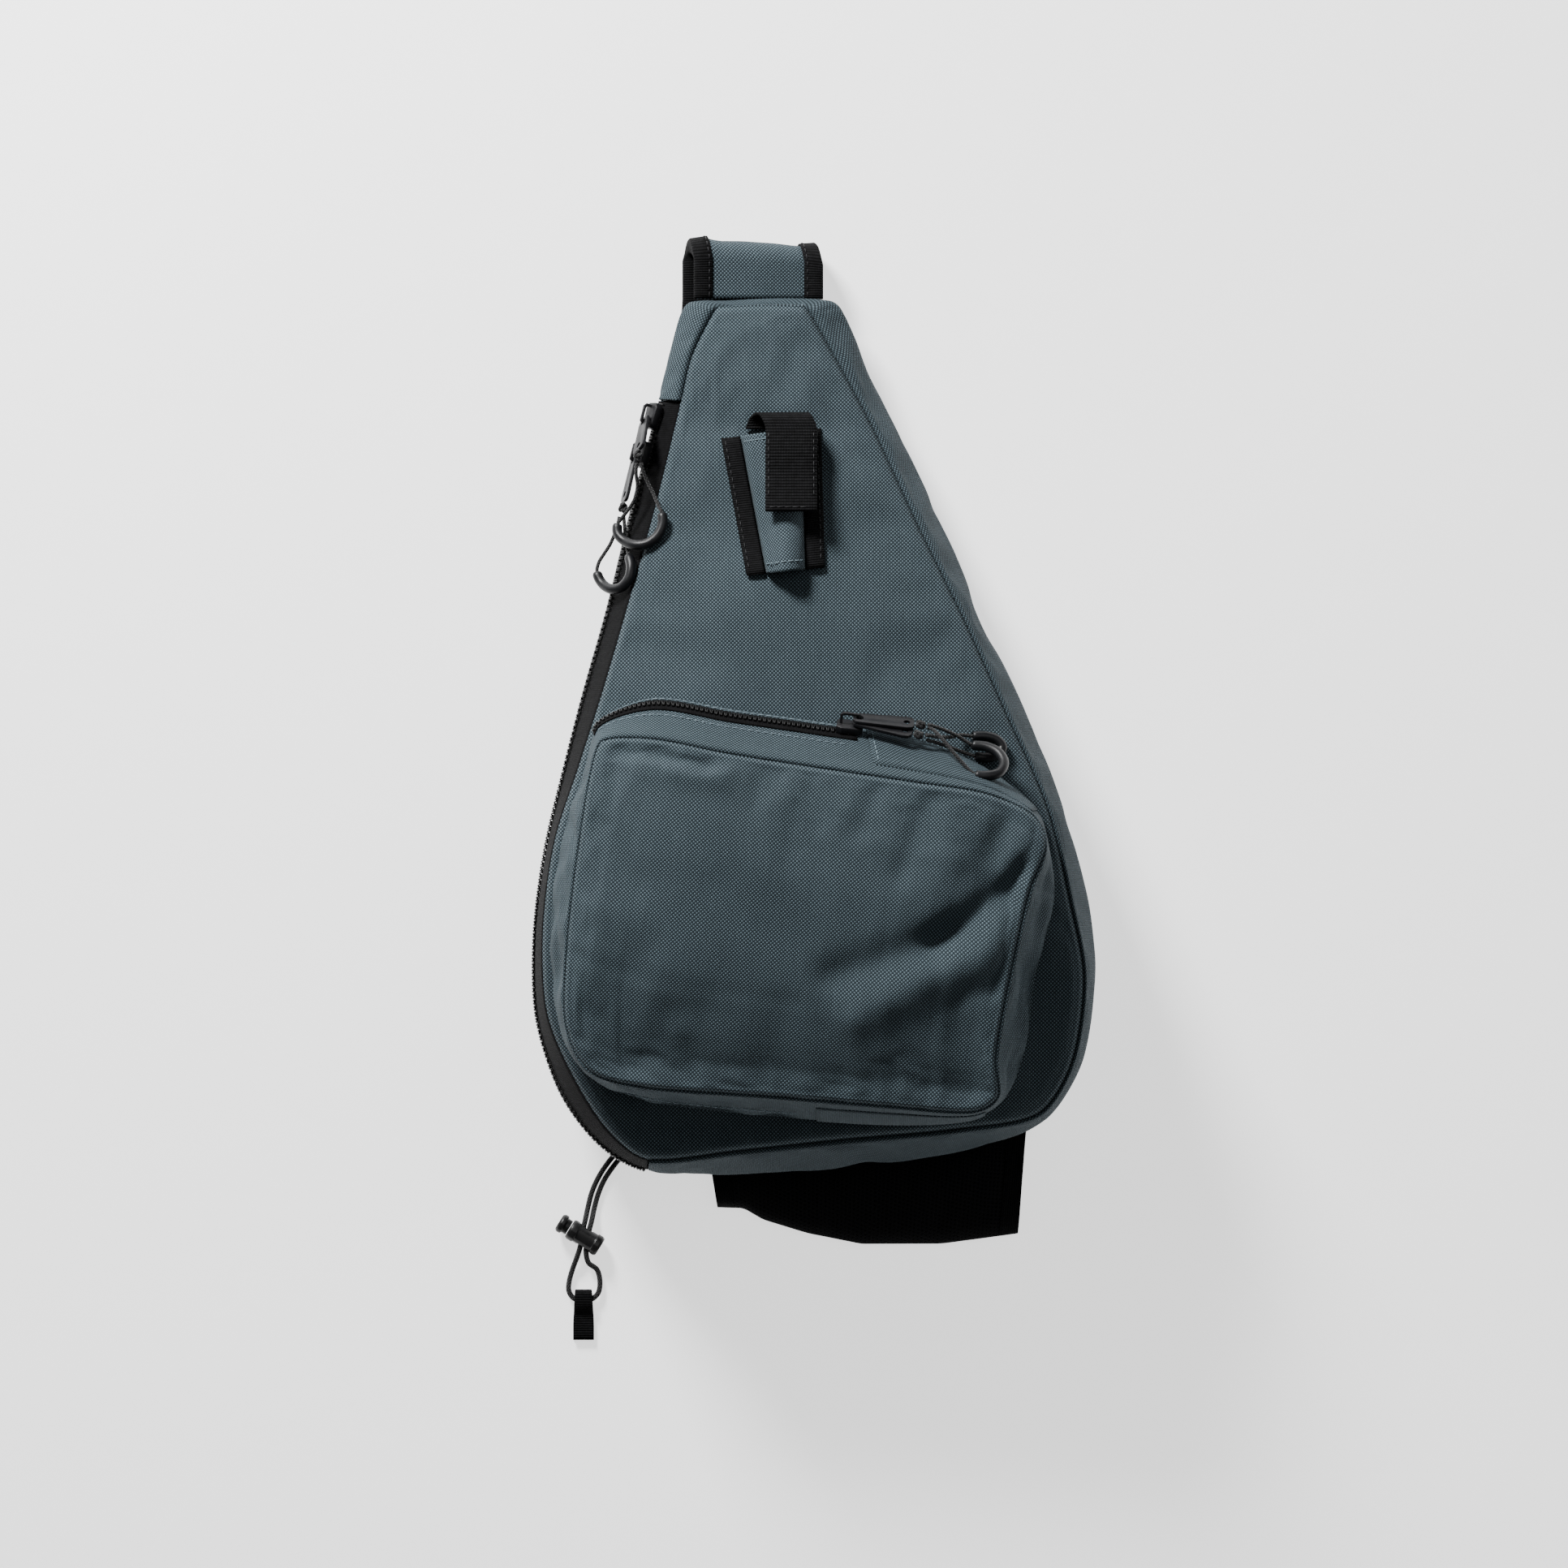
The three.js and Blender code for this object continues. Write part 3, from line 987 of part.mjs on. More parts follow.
// Rubber sleeve with a bore, along a stretch of its cord's curve
function gripSolid(route, from, to) {
  const curve = curveThrough(route);
  const steps = 6;
  const sides = 8;
  const rings = (diameter) => Array.from({ length: steps + 1 }, (_, k) => {
    const at = mix(from, to, k / steps) / (route.length - 1);
    const along = curve.getTangent(at);
    const side = v3(0, 0, 1).cross(along).normalize();
    const up = along.clone().cross(side);
    return Array.from({ length: sides }, (__, n) => {
      const angle = 2 * Math.PI * n / sides;
      return curve.getPoint(at)
        .addScaledVector(side, Math.cos(angle) * diameter / 2)
        .addScaledVector(up, Math.sin(angle) * diameter / 2);
    });
  });
  const body = new Body();
  const skin = body.grid(rings(GRIP_DIAMETER));
  const bore = body.grid(rings(GRIP_BORE));
  for (let k = 0; k < steps; k += 1) {
    body.strip(skin[k], skin[k + 1], true);
    body.strip(bore[k + 1], bore[k], true);
  }
  body.strip(bore[0], skin[0], true);
  body.strip(skin.at(-1), bore.at(-1), true);
  return body.geometry();
}

PULL_CORDS.forEach(({ pull, gripFrom, gripTo, route }) => {
  const cord = tube(route, PULL_CORD_DIAMETER, 26, 6);
  addPart(pull.replace('pull', 'pull_cord'), cord, BLACK_WEBBING);
  const grip = gripSolid(route, gripFrom, gripTo);
  addPart(pull.replace('pull', 'pull_grip'), grip, BLACK_TAPE, 0.5);
});

export default bag;
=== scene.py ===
"""Fishing tackle sling bag, lying on its back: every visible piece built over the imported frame."""
import math

import bmesh
import bpy
from mathutils import Matrix, Vector, noise
from mathutils.bvhtree import BVHTree
from mathutils.kdtree import KDTree


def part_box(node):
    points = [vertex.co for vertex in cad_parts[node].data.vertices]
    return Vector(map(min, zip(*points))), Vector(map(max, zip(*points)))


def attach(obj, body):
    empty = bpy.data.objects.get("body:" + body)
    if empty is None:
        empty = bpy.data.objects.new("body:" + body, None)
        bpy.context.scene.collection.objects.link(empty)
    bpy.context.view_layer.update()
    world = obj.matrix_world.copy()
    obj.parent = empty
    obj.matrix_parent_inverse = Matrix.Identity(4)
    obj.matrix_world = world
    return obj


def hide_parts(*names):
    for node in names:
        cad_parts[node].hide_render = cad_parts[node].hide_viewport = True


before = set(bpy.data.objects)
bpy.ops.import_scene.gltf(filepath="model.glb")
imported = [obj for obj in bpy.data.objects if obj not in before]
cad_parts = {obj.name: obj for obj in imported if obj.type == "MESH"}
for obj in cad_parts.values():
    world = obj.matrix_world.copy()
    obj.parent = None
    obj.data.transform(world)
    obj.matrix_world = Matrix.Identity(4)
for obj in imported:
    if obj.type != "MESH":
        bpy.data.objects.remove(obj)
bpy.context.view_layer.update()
MM = 0.001
UP = Vector((0, 0, 1))
RIGHT = Vector((1, 0, 0))

# Camera: straight above the bag, as the photograph looks at it
CAMERA_HEIGHT = 3.0
CAMERA_X = -0.015
CAMERA_Y = -0.0205
FIELD_WIDTH = 0.7921
SENSOR_WIDTH = 36.0
camera_data = bpy.data.cameras.new("camera")
camera_data.sensor_width = SENSOR_WIDTH
camera_data.lens = SENSOR_WIDTH * CAMERA_HEIGHT / FIELD_WIDTH
camera_data.clip_end = 20.0
camera = bpy.data.objects.new("camera", camera_data)
camera.location = (CAMERA_X, CAMERA_Y, CAMERA_HEIGHT)
bpy.context.scene.collection.objects.link(camera)
bpy.context.scene.camera = camera


# Materials
class Graph:
    """A node material built from short calls; numbers go straight onto sockets."""

    def __init__(self, name, roughness, specular, sheen=0.0):
        self.material = bpy.data.materials.new(name)
        self.material.use_nodes = True
        self.nodes = self.material.node_tree.nodes
        self.links = self.material.node_tree.links
        self.shader = self.nodes["Principled BSDF"]
        self.fill(self.shader, {"Roughness": roughness, "Specular IOR Level": specular,
                                "Sheen Weight": sheen, "Sheen Roughness": 0.4})

    def fill(self, node, inputs):
        """Links outputs to a node's inputs, and sets numbers and colours straight on them."""
        for key, value in inputs.items():
            socket = node.inputs[key]
            if isinstance(value, bpy.types.NodeSocket):
                self.links.new(value, socket)
            else:
                socket.default_value = (*value, 1.0) if isinstance(value, tuple) else value

    def node(self, kind, inputs, output=0, **settings):
        """The output of a new node; inputs are given by name or number."""
        made = self.nodes.new(f"ShaderNode{kind}")
        for name, value in settings.items():
            setattr(made, name, value)
        self.fill(made, inputs)
        return made.outputs[output]

    def math(self, operation, first, second=0.0, third=0.0):
        return self.node("Math", {0: first, 1: second, 2: third}, operation=operation)

    def times(self, first, second):
        return self.math("MULTIPLY", first, second)

    def mix(self, factor, first, second):
        return self.node("Mix", {0: factor, 6: first, 7: second}, 2, data_type="RGBA")

    def blend(self, factor, first, second):
        return self.node("Mix", {0: factor, 2: first, 3: second})

    def noise(self, vector, scale, detail=2.0):
        return self.node("TexNoise", {"Vector": vector, "Scale": scale, "Detail": detail})

    def cloth_uv(self):
        """Cloth coordinates in metres: both, across and along."""
        uv = self.node("UVMap", {}, uv_map="cloth")
        split = self.node("SeparateXYZ", {0: uv}).node
        return uv, split.outputs[0], split.outputs[1]

    def place(self):
        return self.node("TexCoord", {}, "Object")

    def join(self, x, y):
        return self.node("CombineXYZ", {0: x, 1: y})

    def wave(self, value, period):
        """0 to 1 and back once in each period of metres."""
        return self.math("ABSOLUTE", self.math("SINE", self.times(value, math.pi / period)))

    def spread(self, value, low, high):
        """0 at low and 1 at high."""
        return self.node("MapRange", {0: value, 1: low, 2: high})

    def finish(self, color, height, relief):
        """Colour and relief, a height in metres, go to the shader."""
        bump = self.node("Bump", {"Distance": relief, "Height": height})
        self.fill(self.shader, {"Base Color": color, "Normal": bump})
        return self.material


WEAVE_CELL = 0.00092
# Painted shade: near-black colour for the gaps between the weave's threads.
WEAVE_GAP_SHADE = (0.001, 0.002, 0.003)
# Painted shade: near-black colour for the troughs of ribs, the pinholes of the mesh and the hollows between
# braided strands.
RECESS_SHADE = (0.001, 0.001, 0.001)


def woven(name, shaded_weft_thread, lit_warp_thread, sheen):
    """Coarse plain weave of slubby yarn: warp and weft pass over each other in turn; the warp is coloured
    pale as painted light and the weft dark as painted shade, and the gaps between the threads are painted
    dark as shade.
    """
    g = Graph(name, roughness=0.88, specular=0.2, sheen=sheen)
    uv, u, v = g.cloth_uv()
    warp, weft = g.wave(u, WEAVE_CELL), g.wave(v, WEAVE_CELL)
    column, row = (g.math("FLOOR", g.math("DIVIDE", at, WEAVE_CELL)) for at in (u, v))
    parity = g.math("FLOORED_MODULO", g.math("ADD", column, row), 2.0)
    warp_over, weft_over = (g.times(g.math("POWER", upper, 0.6), g.math("MULTIPLY_ADD", lower, 0.6, 0.4))
                            for upper, lower in ((warp, weft), (weft, warp)))
    height = g.blend(parity, warp_over, g.times(weft_over, 0.6))
    slub = g.noise(g.join(g.times(column, 7.31), g.times(v, 60.0)), 1.0)
    yarn = g.mix(g.times(g.spread(slub, 0.2, 0.9), 0.35), lit_warp_thread, shaded_weft_thread)
    # Painted light and shade: warp cells take the lit colour, weft cells the shaded one.
    over = g.mix(parity, yarn, shaded_weft_thread)
    cloudy = g.spread(g.noise(uv, 26.0, 3.0), 0.25, 0.75)
    worn = g.mix(g.times(cloudy, 0.1), over, lit_warp_thread)
    # Painted shade: the low parts between the threads are darkened towards the gap colour.
    return g.finish(g.mix(g.math("POWER", height, 0.8), WEAVE_GAP_SHADE, worn), height, 0.00022)


def ribbed(name, ridge, rib, yarn, relief):
    """Grosgrain or webbing: ribs run across, fine yarns run along; the troughs between the ribs are painted
    dark as shade.
    """
    g = Graph(name, roughness=0.8, specular=0.08)
    uv, u, v = g.cloth_uv()
    ribs = g.wave(v, rib)
    height = g.math("ADD", ribs, g.times(g.wave(u, yarn), 0.35))
    lint = g.spread(g.noise(uv, 320.0), 0.35, 0.8)
    tone = g.times(ribs, g.math("MULTIPLY_ADD", lint, 0.7, 0.3))
    return g.finish(g.mix(tone, RECESS_SHADE, ridge), height, relief)


def air_mesh(name, knit, pitch):
    """Spacer mesh: a knit with staggered pinholes, which are painted dark as shade."""
    g = Graph(name, roughness=0.9, specular=0.1)
    uv, u, v = g.cloth_uv()
    row = g.math("FLOOR", g.math("DIVIDE", v, pitch))
    shift = g.times(g.math("FLOORED_MODULO", row, 2.0), pitch / 2)
    dot = g.times(g.wave(g.math("ADD", u, shift), pitch), g.wave(v, pitch))
    solid = g.math("SUBTRACT", 1.0, g.spread(dot, 0.55, 0.85))
    fuzz = g.math("MULTIPLY_ADD", g.noise(uv, 900.0), 0.8, 0.4)
    return g.finish(g.mix(g.times(solid, fuzz), RECESS_SHADE, knit), solid, 0.0004)


def braided(name, ridge, around, pitch):
    """Round braid: strands cross each other both ways round the cord, and the hollows between them are
    painted dark as shade.
    """
    g = Graph(name, roughness=0.7, specular=0.4, sheen=0.1)
    _, u, v = g.cloth_uv()
    turn = g.times(u, pitch / around)
    height = g.times(*(g.wave(g.math(way, v, turn), pitch) for way in ("ADD", "SUBTRACT")))
    return g.finish(g.mix(height, RECESS_SHADE, ridge), height, 0.0003)


def moulded(name, color, wear, roughness, grain=2500.0):
    """Hard or rubber piece: fine grain, cloudy gloss and a little rubbing."""
    g = Graph(name, roughness, specular=0.28)
    cloudy = g.spread(g.noise(g.place(), 130.0, 3.0), 0.3, 0.75)
    g.fill(g.shader, {"Roughness": g.math("MULTIPLY_ADD", cloudy, 0.14, roughness - 0.07)})
    return g.finish(g.mix(g.times(cloudy, 0.5), color, wear), g.noise(g.place(), grain, 3.0), 0.00004)


def plain_floor():
    """White paper that is lit a little from within, as a bright studio floor is."""
    g = Graph("studio_paper", roughness=0.9, specular=0.1)
    g.fill(g.shader, {"Emission Color": (1.0, 1.0, 1.0), "Emission Strength": 1.3})
    fine = g.noise(g.place(), 60.0)
    return g.finish(g.mix(fine, (0.86, 0.865, 0.87), (0.9, 0.9, 0.9)), fine, 0.00005)


# In each weave the weft colour is painted shade and the warp colour painted light of the same yarn.
CLOTH = woven("pack_cloth_look", (0.014, 0.024, 0.030), (0.118, 0.166, 0.192), sheen=0.03)
# Painted shade: a darker copy of the pack cloth for the side walls and the laps on them.
SHADED_WALL_CLOTH = woven("wall_cloth_painted_shade_look", (0.013, 0.022, 0.027), (0.103, 0.145, 0.168), sheen=0.0)
GROSGRAIN = ribbed("grosgrain_look", (0.009, 0.009, 0.01), rib=0.0012, yarn=0.0006, relief=0.00025)
WEBBING = ribbed("webbing_look", (0.008, 0.008, 0.009), rib=0.0016, yarn=0.0013, relief=0.0004)
TAPE = ribbed("zip_tape_look", (0.006, 0.006, 0.007), rib=0.0007, yarn=0.0005, relief=0.00015)
MESH = air_mesh("air_mesh_look", (0.008, 0.008, 0.009), pitch=0.0021)
THREAD = moulded("thread_look", (0.09, 0.125, 0.145), (0.2, 0.255, 0.29), roughness=0.7)
BLACK_THREAD = moulded("black_thread_look", (0.006, 0.006, 0.007), (0.018, 0.018, 0.02), roughness=0.6)
CORD = braided("braided_cord_look", (0.012, 0.012, 0.013), around=0.0014, pitch=0.0018)
COIL = moulded("zip_coil_look", (0.003, 0.003, 0.003), (0.01, 0.01, 0.011), roughness=0.4)
PLASTIC = moulded("satin_plastic_look", (0.005, 0.005, 0.005), (0.014, 0.014, 0.015), roughness=0.4)
METAL = moulded("black_metal_look", (0.003, 0.003, 0.004), (0.010, 0.010, 0.012), roughness=0.52,
                grain=900.0)
RUBBER = moulded("grip_rubber_look", (0.003, 0.003, 0.004), (0.008, 0.009, 0.01), roughness=0.42)

SLOTS = {
    "pack_cloth": (CLOTH, SHADED_WALL_CLOTH, THREAD), "black_webbing": (GROSGRAIN, WEBBING, BLACK_THREAD),
    "zip_tape": (TAPE, COIL), "black_mesh": (MESH,), "cord": (CORD,), "hard_plastic": (PLASTIC,),
    "dark_metal": (METAL,), "grip_rubber": (RUBBER,),
}


# Mesh helpers; all shapes are worked out in millimetres
def declare(piece, material, replaced=()):
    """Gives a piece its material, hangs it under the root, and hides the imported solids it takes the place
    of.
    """
    piece.data.materials.clear()
    piece.data.materials.append(material)
    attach(piece, "root")
    next(slot for slot, looks in SLOTS.items() if material in looks)
    if replaced:
        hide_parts(*replaced)
    return piece


def add_object(name, data):
    piece = bpy.data.objects.new(name, data)
    bpy.context.scene.collection.objects.link(piece)
    return piece


def surface(name, rows, material, wrap_rows=False, wrap_cols=False, cap_rows=False, planar=None,
            replaced=(), out_from=None):
    """A grid of points as one smooth mesh, with cloth coordinates in metres.
    wrap_rows joins the last row to the first, wrap_cols joins each row's ends, and cap_rows closes
    the first and last row. planar is the angle at which the weave lies on a flat panel.
    Faces look away from out_from, or up."""
    count = len(rows[0])
    along = [0.0]
    for low, high in zip(rows, rows[1:] + rows[:1]):
        along.append(along[-1] + sum((a - b).length for a, b in zip(low, high)) / count)
    across = []
    for row in rows:
        line = [0.0]
        for low, high in zip(row, row[1:] + row[:1]):
            line.append(line[-1] + (high - low).length)
        across.append(line)
    mesh = bpy.data.meshes.new(name)
    verts = [point * MM for row in rows for point in row]
    faces = []
    coords = []
    last_row = len(rows) if wrap_rows else len(rows) - 1
    last_col = count if wrap_cols else count - 1
    for i in range(last_row):
        for j in range(last_col):
            corners = [(i, j), (i, j + 1), (i + 1, j + 1), (i + 1, j)]
            faces.append([(a % len(rows)) * count + b % count for a, b in corners])
            for a, b in corners:
                if planar is not None:
                    point = rows[a % len(rows)][b % count]
                    coords.append(tuple(Matrix.Rotation(planar, 2) @ (point.xy * MM)))
                else:
                    coords.append((across[a % len(rows)][b] * MM, along[a] * MM))
    if cap_rows:
        for i in (0, len(rows) - 1):
            faces.append([i * count + j for j in range(count)])
            coords.extend((rows[i][j].x * MM, rows[i][j].y * MM) for j in range(count))
    mesh.from_pydata(verts, [], faces)
    layer = mesh.uv_layers.new(name="cloth")
    for loop, coord in zip(layer.data, coords):
        loop.uv = coord
    mesh.update()
    if cap_rows or (wrap_rows and wrap_cols):
        work = bmesh.new()
        work.from_mesh(mesh)
        bmesh.ops.recalc_face_normals(work, faces=work.faces)
        work.to_mesh(mesh)
        work.free()
    else:
        score = 0.0
        for face in mesh.polygons:
            way = face.center - Vector(out_from) * MM if out_from else UP
            score += face.normal.dot(way) * face.area
        if score < 0:
            mesh.flip_normals()
    mesh.shade_smooth()
    return declare(add_object(name, mesh), material, replaced)


def shape(node, rows, material, **ways):
    """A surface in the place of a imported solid."""
    return surface(f"{node}_shape", rows, material, replaced=[node], **ways)


def closed(node, rings, material):
    """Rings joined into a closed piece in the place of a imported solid."""
    return shape(node, rings, material, wrap_cols=True, cap_rows=True)


def settle(piece):
    """Applies a piece's modifiers to its mesh."""
    graph = bpy.context.evaluated_depsgraph_get()
    graph.update()
    mesh = bpy.data.meshes.new_from_object(piece.evaluated_get(graph))
    old = piece.data
    piece.modifiers.clear()
    piece.data = mesh
    mesh.name = old.name
    bpy.data.meshes.remove(old)


def thicken(piece, wall, subdivide=0):
    """Gives a cloth surface its real wall on its inner side."""
    if subdivide:
        smooth = piece.modifiers.new("subdivide", "SUBSURF")
        smooth.levels = subdivide
        smooth.render_levels = subdivide
    shell = piece.modifiers.new("wall", "SOLIDIFY")
    shell.thickness = wall * MM
    shell.offset = -1.0
    shell.use_even_offset = False
    settle(piece)
    return piece


def move_points(piece, shift):
    """Moves each point along its normal by shift(place in mm), in mm."""
    mesh = piece.data
    normals = [Vector(n.vector) for n in mesh.vertex_normals]
    for vertex, normal in zip(mesh.vertices, normals):
        vertex.co += normal * shift(vertex.co / MM) * MM
    mesh.update()


CLOTH_FRAMES = 20
CLOTH_SETTINGS = {"quality": 6, "mass": 0.3, "tension_stiffness": 20, "compression_stiffness": 20,
                  "bending_stiffness": 0.4}


def relax(piece, pinned, growth, pressure, cap):
    """Cloth simulation with a pinned edge: growth slackens the cloth so that it puckers and folds.
    No point moves farther than cap."""
    group = piece.vertex_groups.new(name="pin")
    start = [vertex.co.copy() for vertex in piece.data.vertices]
    for index, co in enumerate(start):
        weight = pinned(co / MM)
        if weight > 0:
            group.add([index], weight, "REPLACE")
    cloth = piece.modifiers.new("cloth", "CLOTH")
    for name, value in CLOTH_SETTINGS.items():
        setattr(cloth.settings, name, value)
    cloth.settings.vertex_group_mass = "pin"
    cloth.settings.shrink_min = -growth
    cloth.settings.use_pressure = True
    cloth.settings.uniform_pressure_force = pressure
    cloth.settings.effector_weights.gravity = 0
    cloth.collision_settings.use_collision = False
    scene = bpy.context.scene
    for number in range(1, CLOTH_FRAMES + 1):
        scene.frame_set(number)
    graph = bpy.context.evaluated_depsgraph_get()
    moved = [vertex.co.copy() for vertex in piece.evaluated_get(graph).data.vertices]
    piece.modifiers.remove(cloth)
    piece.vertex_groups.remove(group)
    scene.frame_set(1)
    for vertex, old, new in zip(piece.data.vertices, start, moved):
        step = new - old
        if step.length > cap * MM:
            step *= cap * MM / step.length
        vertex.co = old + step
    piece.data.update()


def held_at(points):
    """A weight that is 1 at the given places and 0 elsewhere."""
    rounded = lambda point: tuple(round(c, 2) for c in point)
    held = {rounded(point) for point in points}
    return lambda co: 1.0 if rounded(co) in held else 0.0


def height_of(piece):
    """Height of a piece's top surface at a place, to set other pieces on."""
    mesh = piece.data
    tree = BVHTree.FromPolygons([vertex.co / MM for vertex in mesh.vertices],
                                [tuple(face.vertices) for face in mesh.polygons])

    def top(x, y, missing=0.0):
        hit = tree.ray_cast(Vector((x, y, 400.0)), Vector((0, 0, -1)))[0]
        return hit.z if hit else missing
    return top


def through(points, steps):
    """Points on a smooth centripetal curve through a route, evenly spread along each stretch."""
    ends = [points[0] * 2 - points[1], *points, points[-1] * 2 - points[-2]]
    out = []
    for k in range(1, len(ends) - 2):
        near = ends[k - 1:k + 3]
        knots = [0.0]
        for a, b in zip(near, near[1:]):
            knots.append(knots[-1] + max((b - a).length, 1e-6) ** 0.5)
        for n in range(steps):
            t = knots[1] + (knots[2] - knots[1]) * n / steps
            level = near
            for size in (1, 2, 3):
                blended = []
                for i in range(4 - size):
                    low = i if size < 3 else 0
                    t0 = knots[low] if size < 3 else knots[1]
                    t1 = knots[low + size] if size < 3 else knots[2]
                    share = (t - t0) / (t1 - t0)
                    blended.append(level[i].lerp(level[i + 1], share))
                level = blended
            out.append(level[0])
    out.append(points[-1].copy())
    return out


def tube_rings(path, radius, sides, up=UP):
    """Rings round a path without twist; radius is a number or a function of the share along it."""
    turns = [2 * math.pi * n / sides for n in range(sides)]
    rings = []
    side = None
    for k, point in enumerate(path):
        ahead = (path[min(k + 1, len(path) - 1)] - path[max(k - 1, 0)]).normalized()
        if side is None:
            side = up.cross(ahead).normalized()
        side = (side - ahead * side.dot(ahead)).normalized()
        other = ahead.cross(side)
        size = radius(k / (len(path) - 1)) if callable(radius) else radius
        rings.append([point + side * (size * math.cos(turn)) + other * (size * math.sin(turn))
                      for turn in turns])
    return rings


def rings_on(path, outline):
    """Rings of a strap along a path; outline gives its points across and through it at a step."""
    rings = []
    for k, point in enumerate(path):
        ahead = path[min(k + 1, len(path) - 1)] - path[max(k - 1, 0)]
        way = RIGHT.cross(ahead).normalized()
        rings.append([point + RIGHT * u + way * w for u, w in outline(k)])
    return rings


STRAP_LIP = 0.35
STRAP_FACE_STEPS = 6


def band(node, path, half, thickness, material):
    """A flat strap with rounded edges; half is its half width, or a function that gives it at a step."""
    high = thickness / 2
    lip = min(STRAP_LIP, thickness * 0.3)

    def outline(k):
        edge = half(k) if callable(half) else half
        face = 2 * edge - 2 * lip
        turn = [(-edge + lip, -high), (-edge, -high + lip), (-edge, high - lip), (-edge + lip, high)]
        turn += [(-edge + lip + face * n / STRAP_FACE_STEPS, high) for n in range(1, STRAP_FACE_STEPS)]
        return turn + [(-u, -w) for u, w in turn]
    return closed(node, rings_on(path, outline), material)


class Bundle:
    """Many short tubes in one mesh."""

    def __init__(self):
        self.verts = []
        self.faces = []

    def add(self, path, radius, sides, up):
        base = len(self.verts)
        for ring in tube_rings(path, radius, sides, up):
            self.verts.extend(point * MM for point in ring)
        last = base + (len(path) - 1) * sides
        for start in range(base, last, sides):
            for n in range(sides):
                m = (n + 1) % sides
                self.faces.append([start + n, start + m, start + sides + m, start + sides + n])
        self.faces.append([base + n for n in range(sides)][::-1])
        self.faces.append([last + n for n in range(sides)])

    def finish(self, name, material):
        mesh = bpy.data.meshes.new(name)
        mesh.from_pydata(self.verts, [], self.faces)
        mesh.update()
        mesh.shade_smooth()
        return declare(add_object(name, mesh), material)


def reader(points):
    """Length of a path, and a function that reads values given at its points along it."""
    lengths = [0.0]
    for a, b in zip(points, points[1:]):
        lengths.append(lengths[-1] + (b - a).length)

    def at(distance, values):
        for k in range(len(lengths) - 1):
            if distance <= lengths[k + 1]:
                share = (distance - lengths[k]) / (lengths[k + 1] - lengths[k])
                return values[k].lerp(values[k + 1], share)
        return values[-1].copy()
    return lengths[-1], at


STITCH = 2.7
STITCH_SPACE = 1.1
THREAD_RADIUS = 0.27
# A stitch comes out of the cloth and goes back into it: share of its length, height
STITCH_ARCH = [(0, -0.3), (0.18, 0.1), (0.5, 0.16), (0.82, 0.1), (1, -0.3)]


def stitches(name, rows, material=THREAD):
    """Rows of thread dashes on the cloth; each row is a path and the outward ways at its points."""
    bundle = Bundle()
    step = STITCH + STITCH_SPACE
    for path, ways in rows:
        total, at = reader(path)
        for k in range(int(total / step)):
            start = (k + 0.15) * step
            dash = []
            for share, rise in STITCH_ARCH:
                place = start + STITCH * share
                dash.append(at(place, path) + at(place, ways).normalized() * rise)
            bundle.add(dash, THREAD_RADIUS, 5, at(start, ways))
    return bundle.finish(name, material)


def upward(line):
    """A row for stitches on cloth that lies flat."""
    return line, [UP] * len(line)


def polished(node, material, bevel):
    """A packed hard piece again, with its edges rounded."""
    mesh = bpy.data.objects[node].data.copy()
    work = bmesh.new()
    work.from_mesh(mesh)
    bmesh.ops.remove_doubles(work, verts=work.verts, dist=1e-5)
    bmesh.ops.dissolve_limit(work, angle_limit=math.radians(1.5), verts=work.verts, edges=work.edges)
    work.to_mesh(mesh)
    work.free()
    piece = add_object(f"{node}_shape", mesh)
    rounding = piece.modifiers.new("rounding", "BEVEL")
    rounding.width = bevel * MM
    rounding.segments = 2
    rounding.limit_method = "ANGLE"
    rounding.angle_limit = math.radians(30.0)
    settle(piece)
    piece.data.shade_smooth()
    piece.data.set_sharp_from_angle(angle=math.radians(40))
    return declare(piece, material, [node])


def points_of(route):
    return [Vector(point) for point in route]


# Cords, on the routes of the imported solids
DRAWCORD_DIAMETER = 2.7
DRAWCORD_ROUTE = points_of([
    (-92.6, -196.5, 2.0), (-98.6, -205.4, 1.4), (-103.5, -211.2, 1.4), (-108.3, -218.4, 1.4),
    (-111.9, -226.2, 1.4), (-114.0, -234.2, 2.0), (-115.2, -240.2, 4.6), (-116.2, -244.8, 5.4),
    (-117.0, -249.1, 5.4), (-117.8, -254.0, 5.4), (-119.6, -259.6, 4.2), (-121.8, -265.6, 2.2),
    (-123.4, -271.4, 2.2), (-123.6, -276.2, 2.8), (-121.4, -279.8, 2.8), (-117.0, -281.2, 2.8),
    (-112.4, -280.6, 2.8), (-108.9, -277.6, 2.8), (-107.9, -271.8, 2.2), (-109.4, -265.6, 2.2),
    (-113.6, -262.0, 4.2), (-114.8, -256.6, 5.4), (-114.0, -249.7, 5.4), (-113.2, -245.4, 5.4),
    (-112.0, -240.8, 4.6), (-110.8, -234.8, 2.0), (-108.7, -227.2, 1.4), (-105.5, -220.0, 1.4),
    (-100.9, -213.2, 1.4), (-96.2, -207.4, 1.4), (-89.7, -198.8, 1.9),
])
PULL_CORD_DIAMETER = 1.8
GRIP_DIAMETER = 5.0
GRIP_BORE = 3.6
CORD_STEPS = 6
KNOT_STEPS = 72
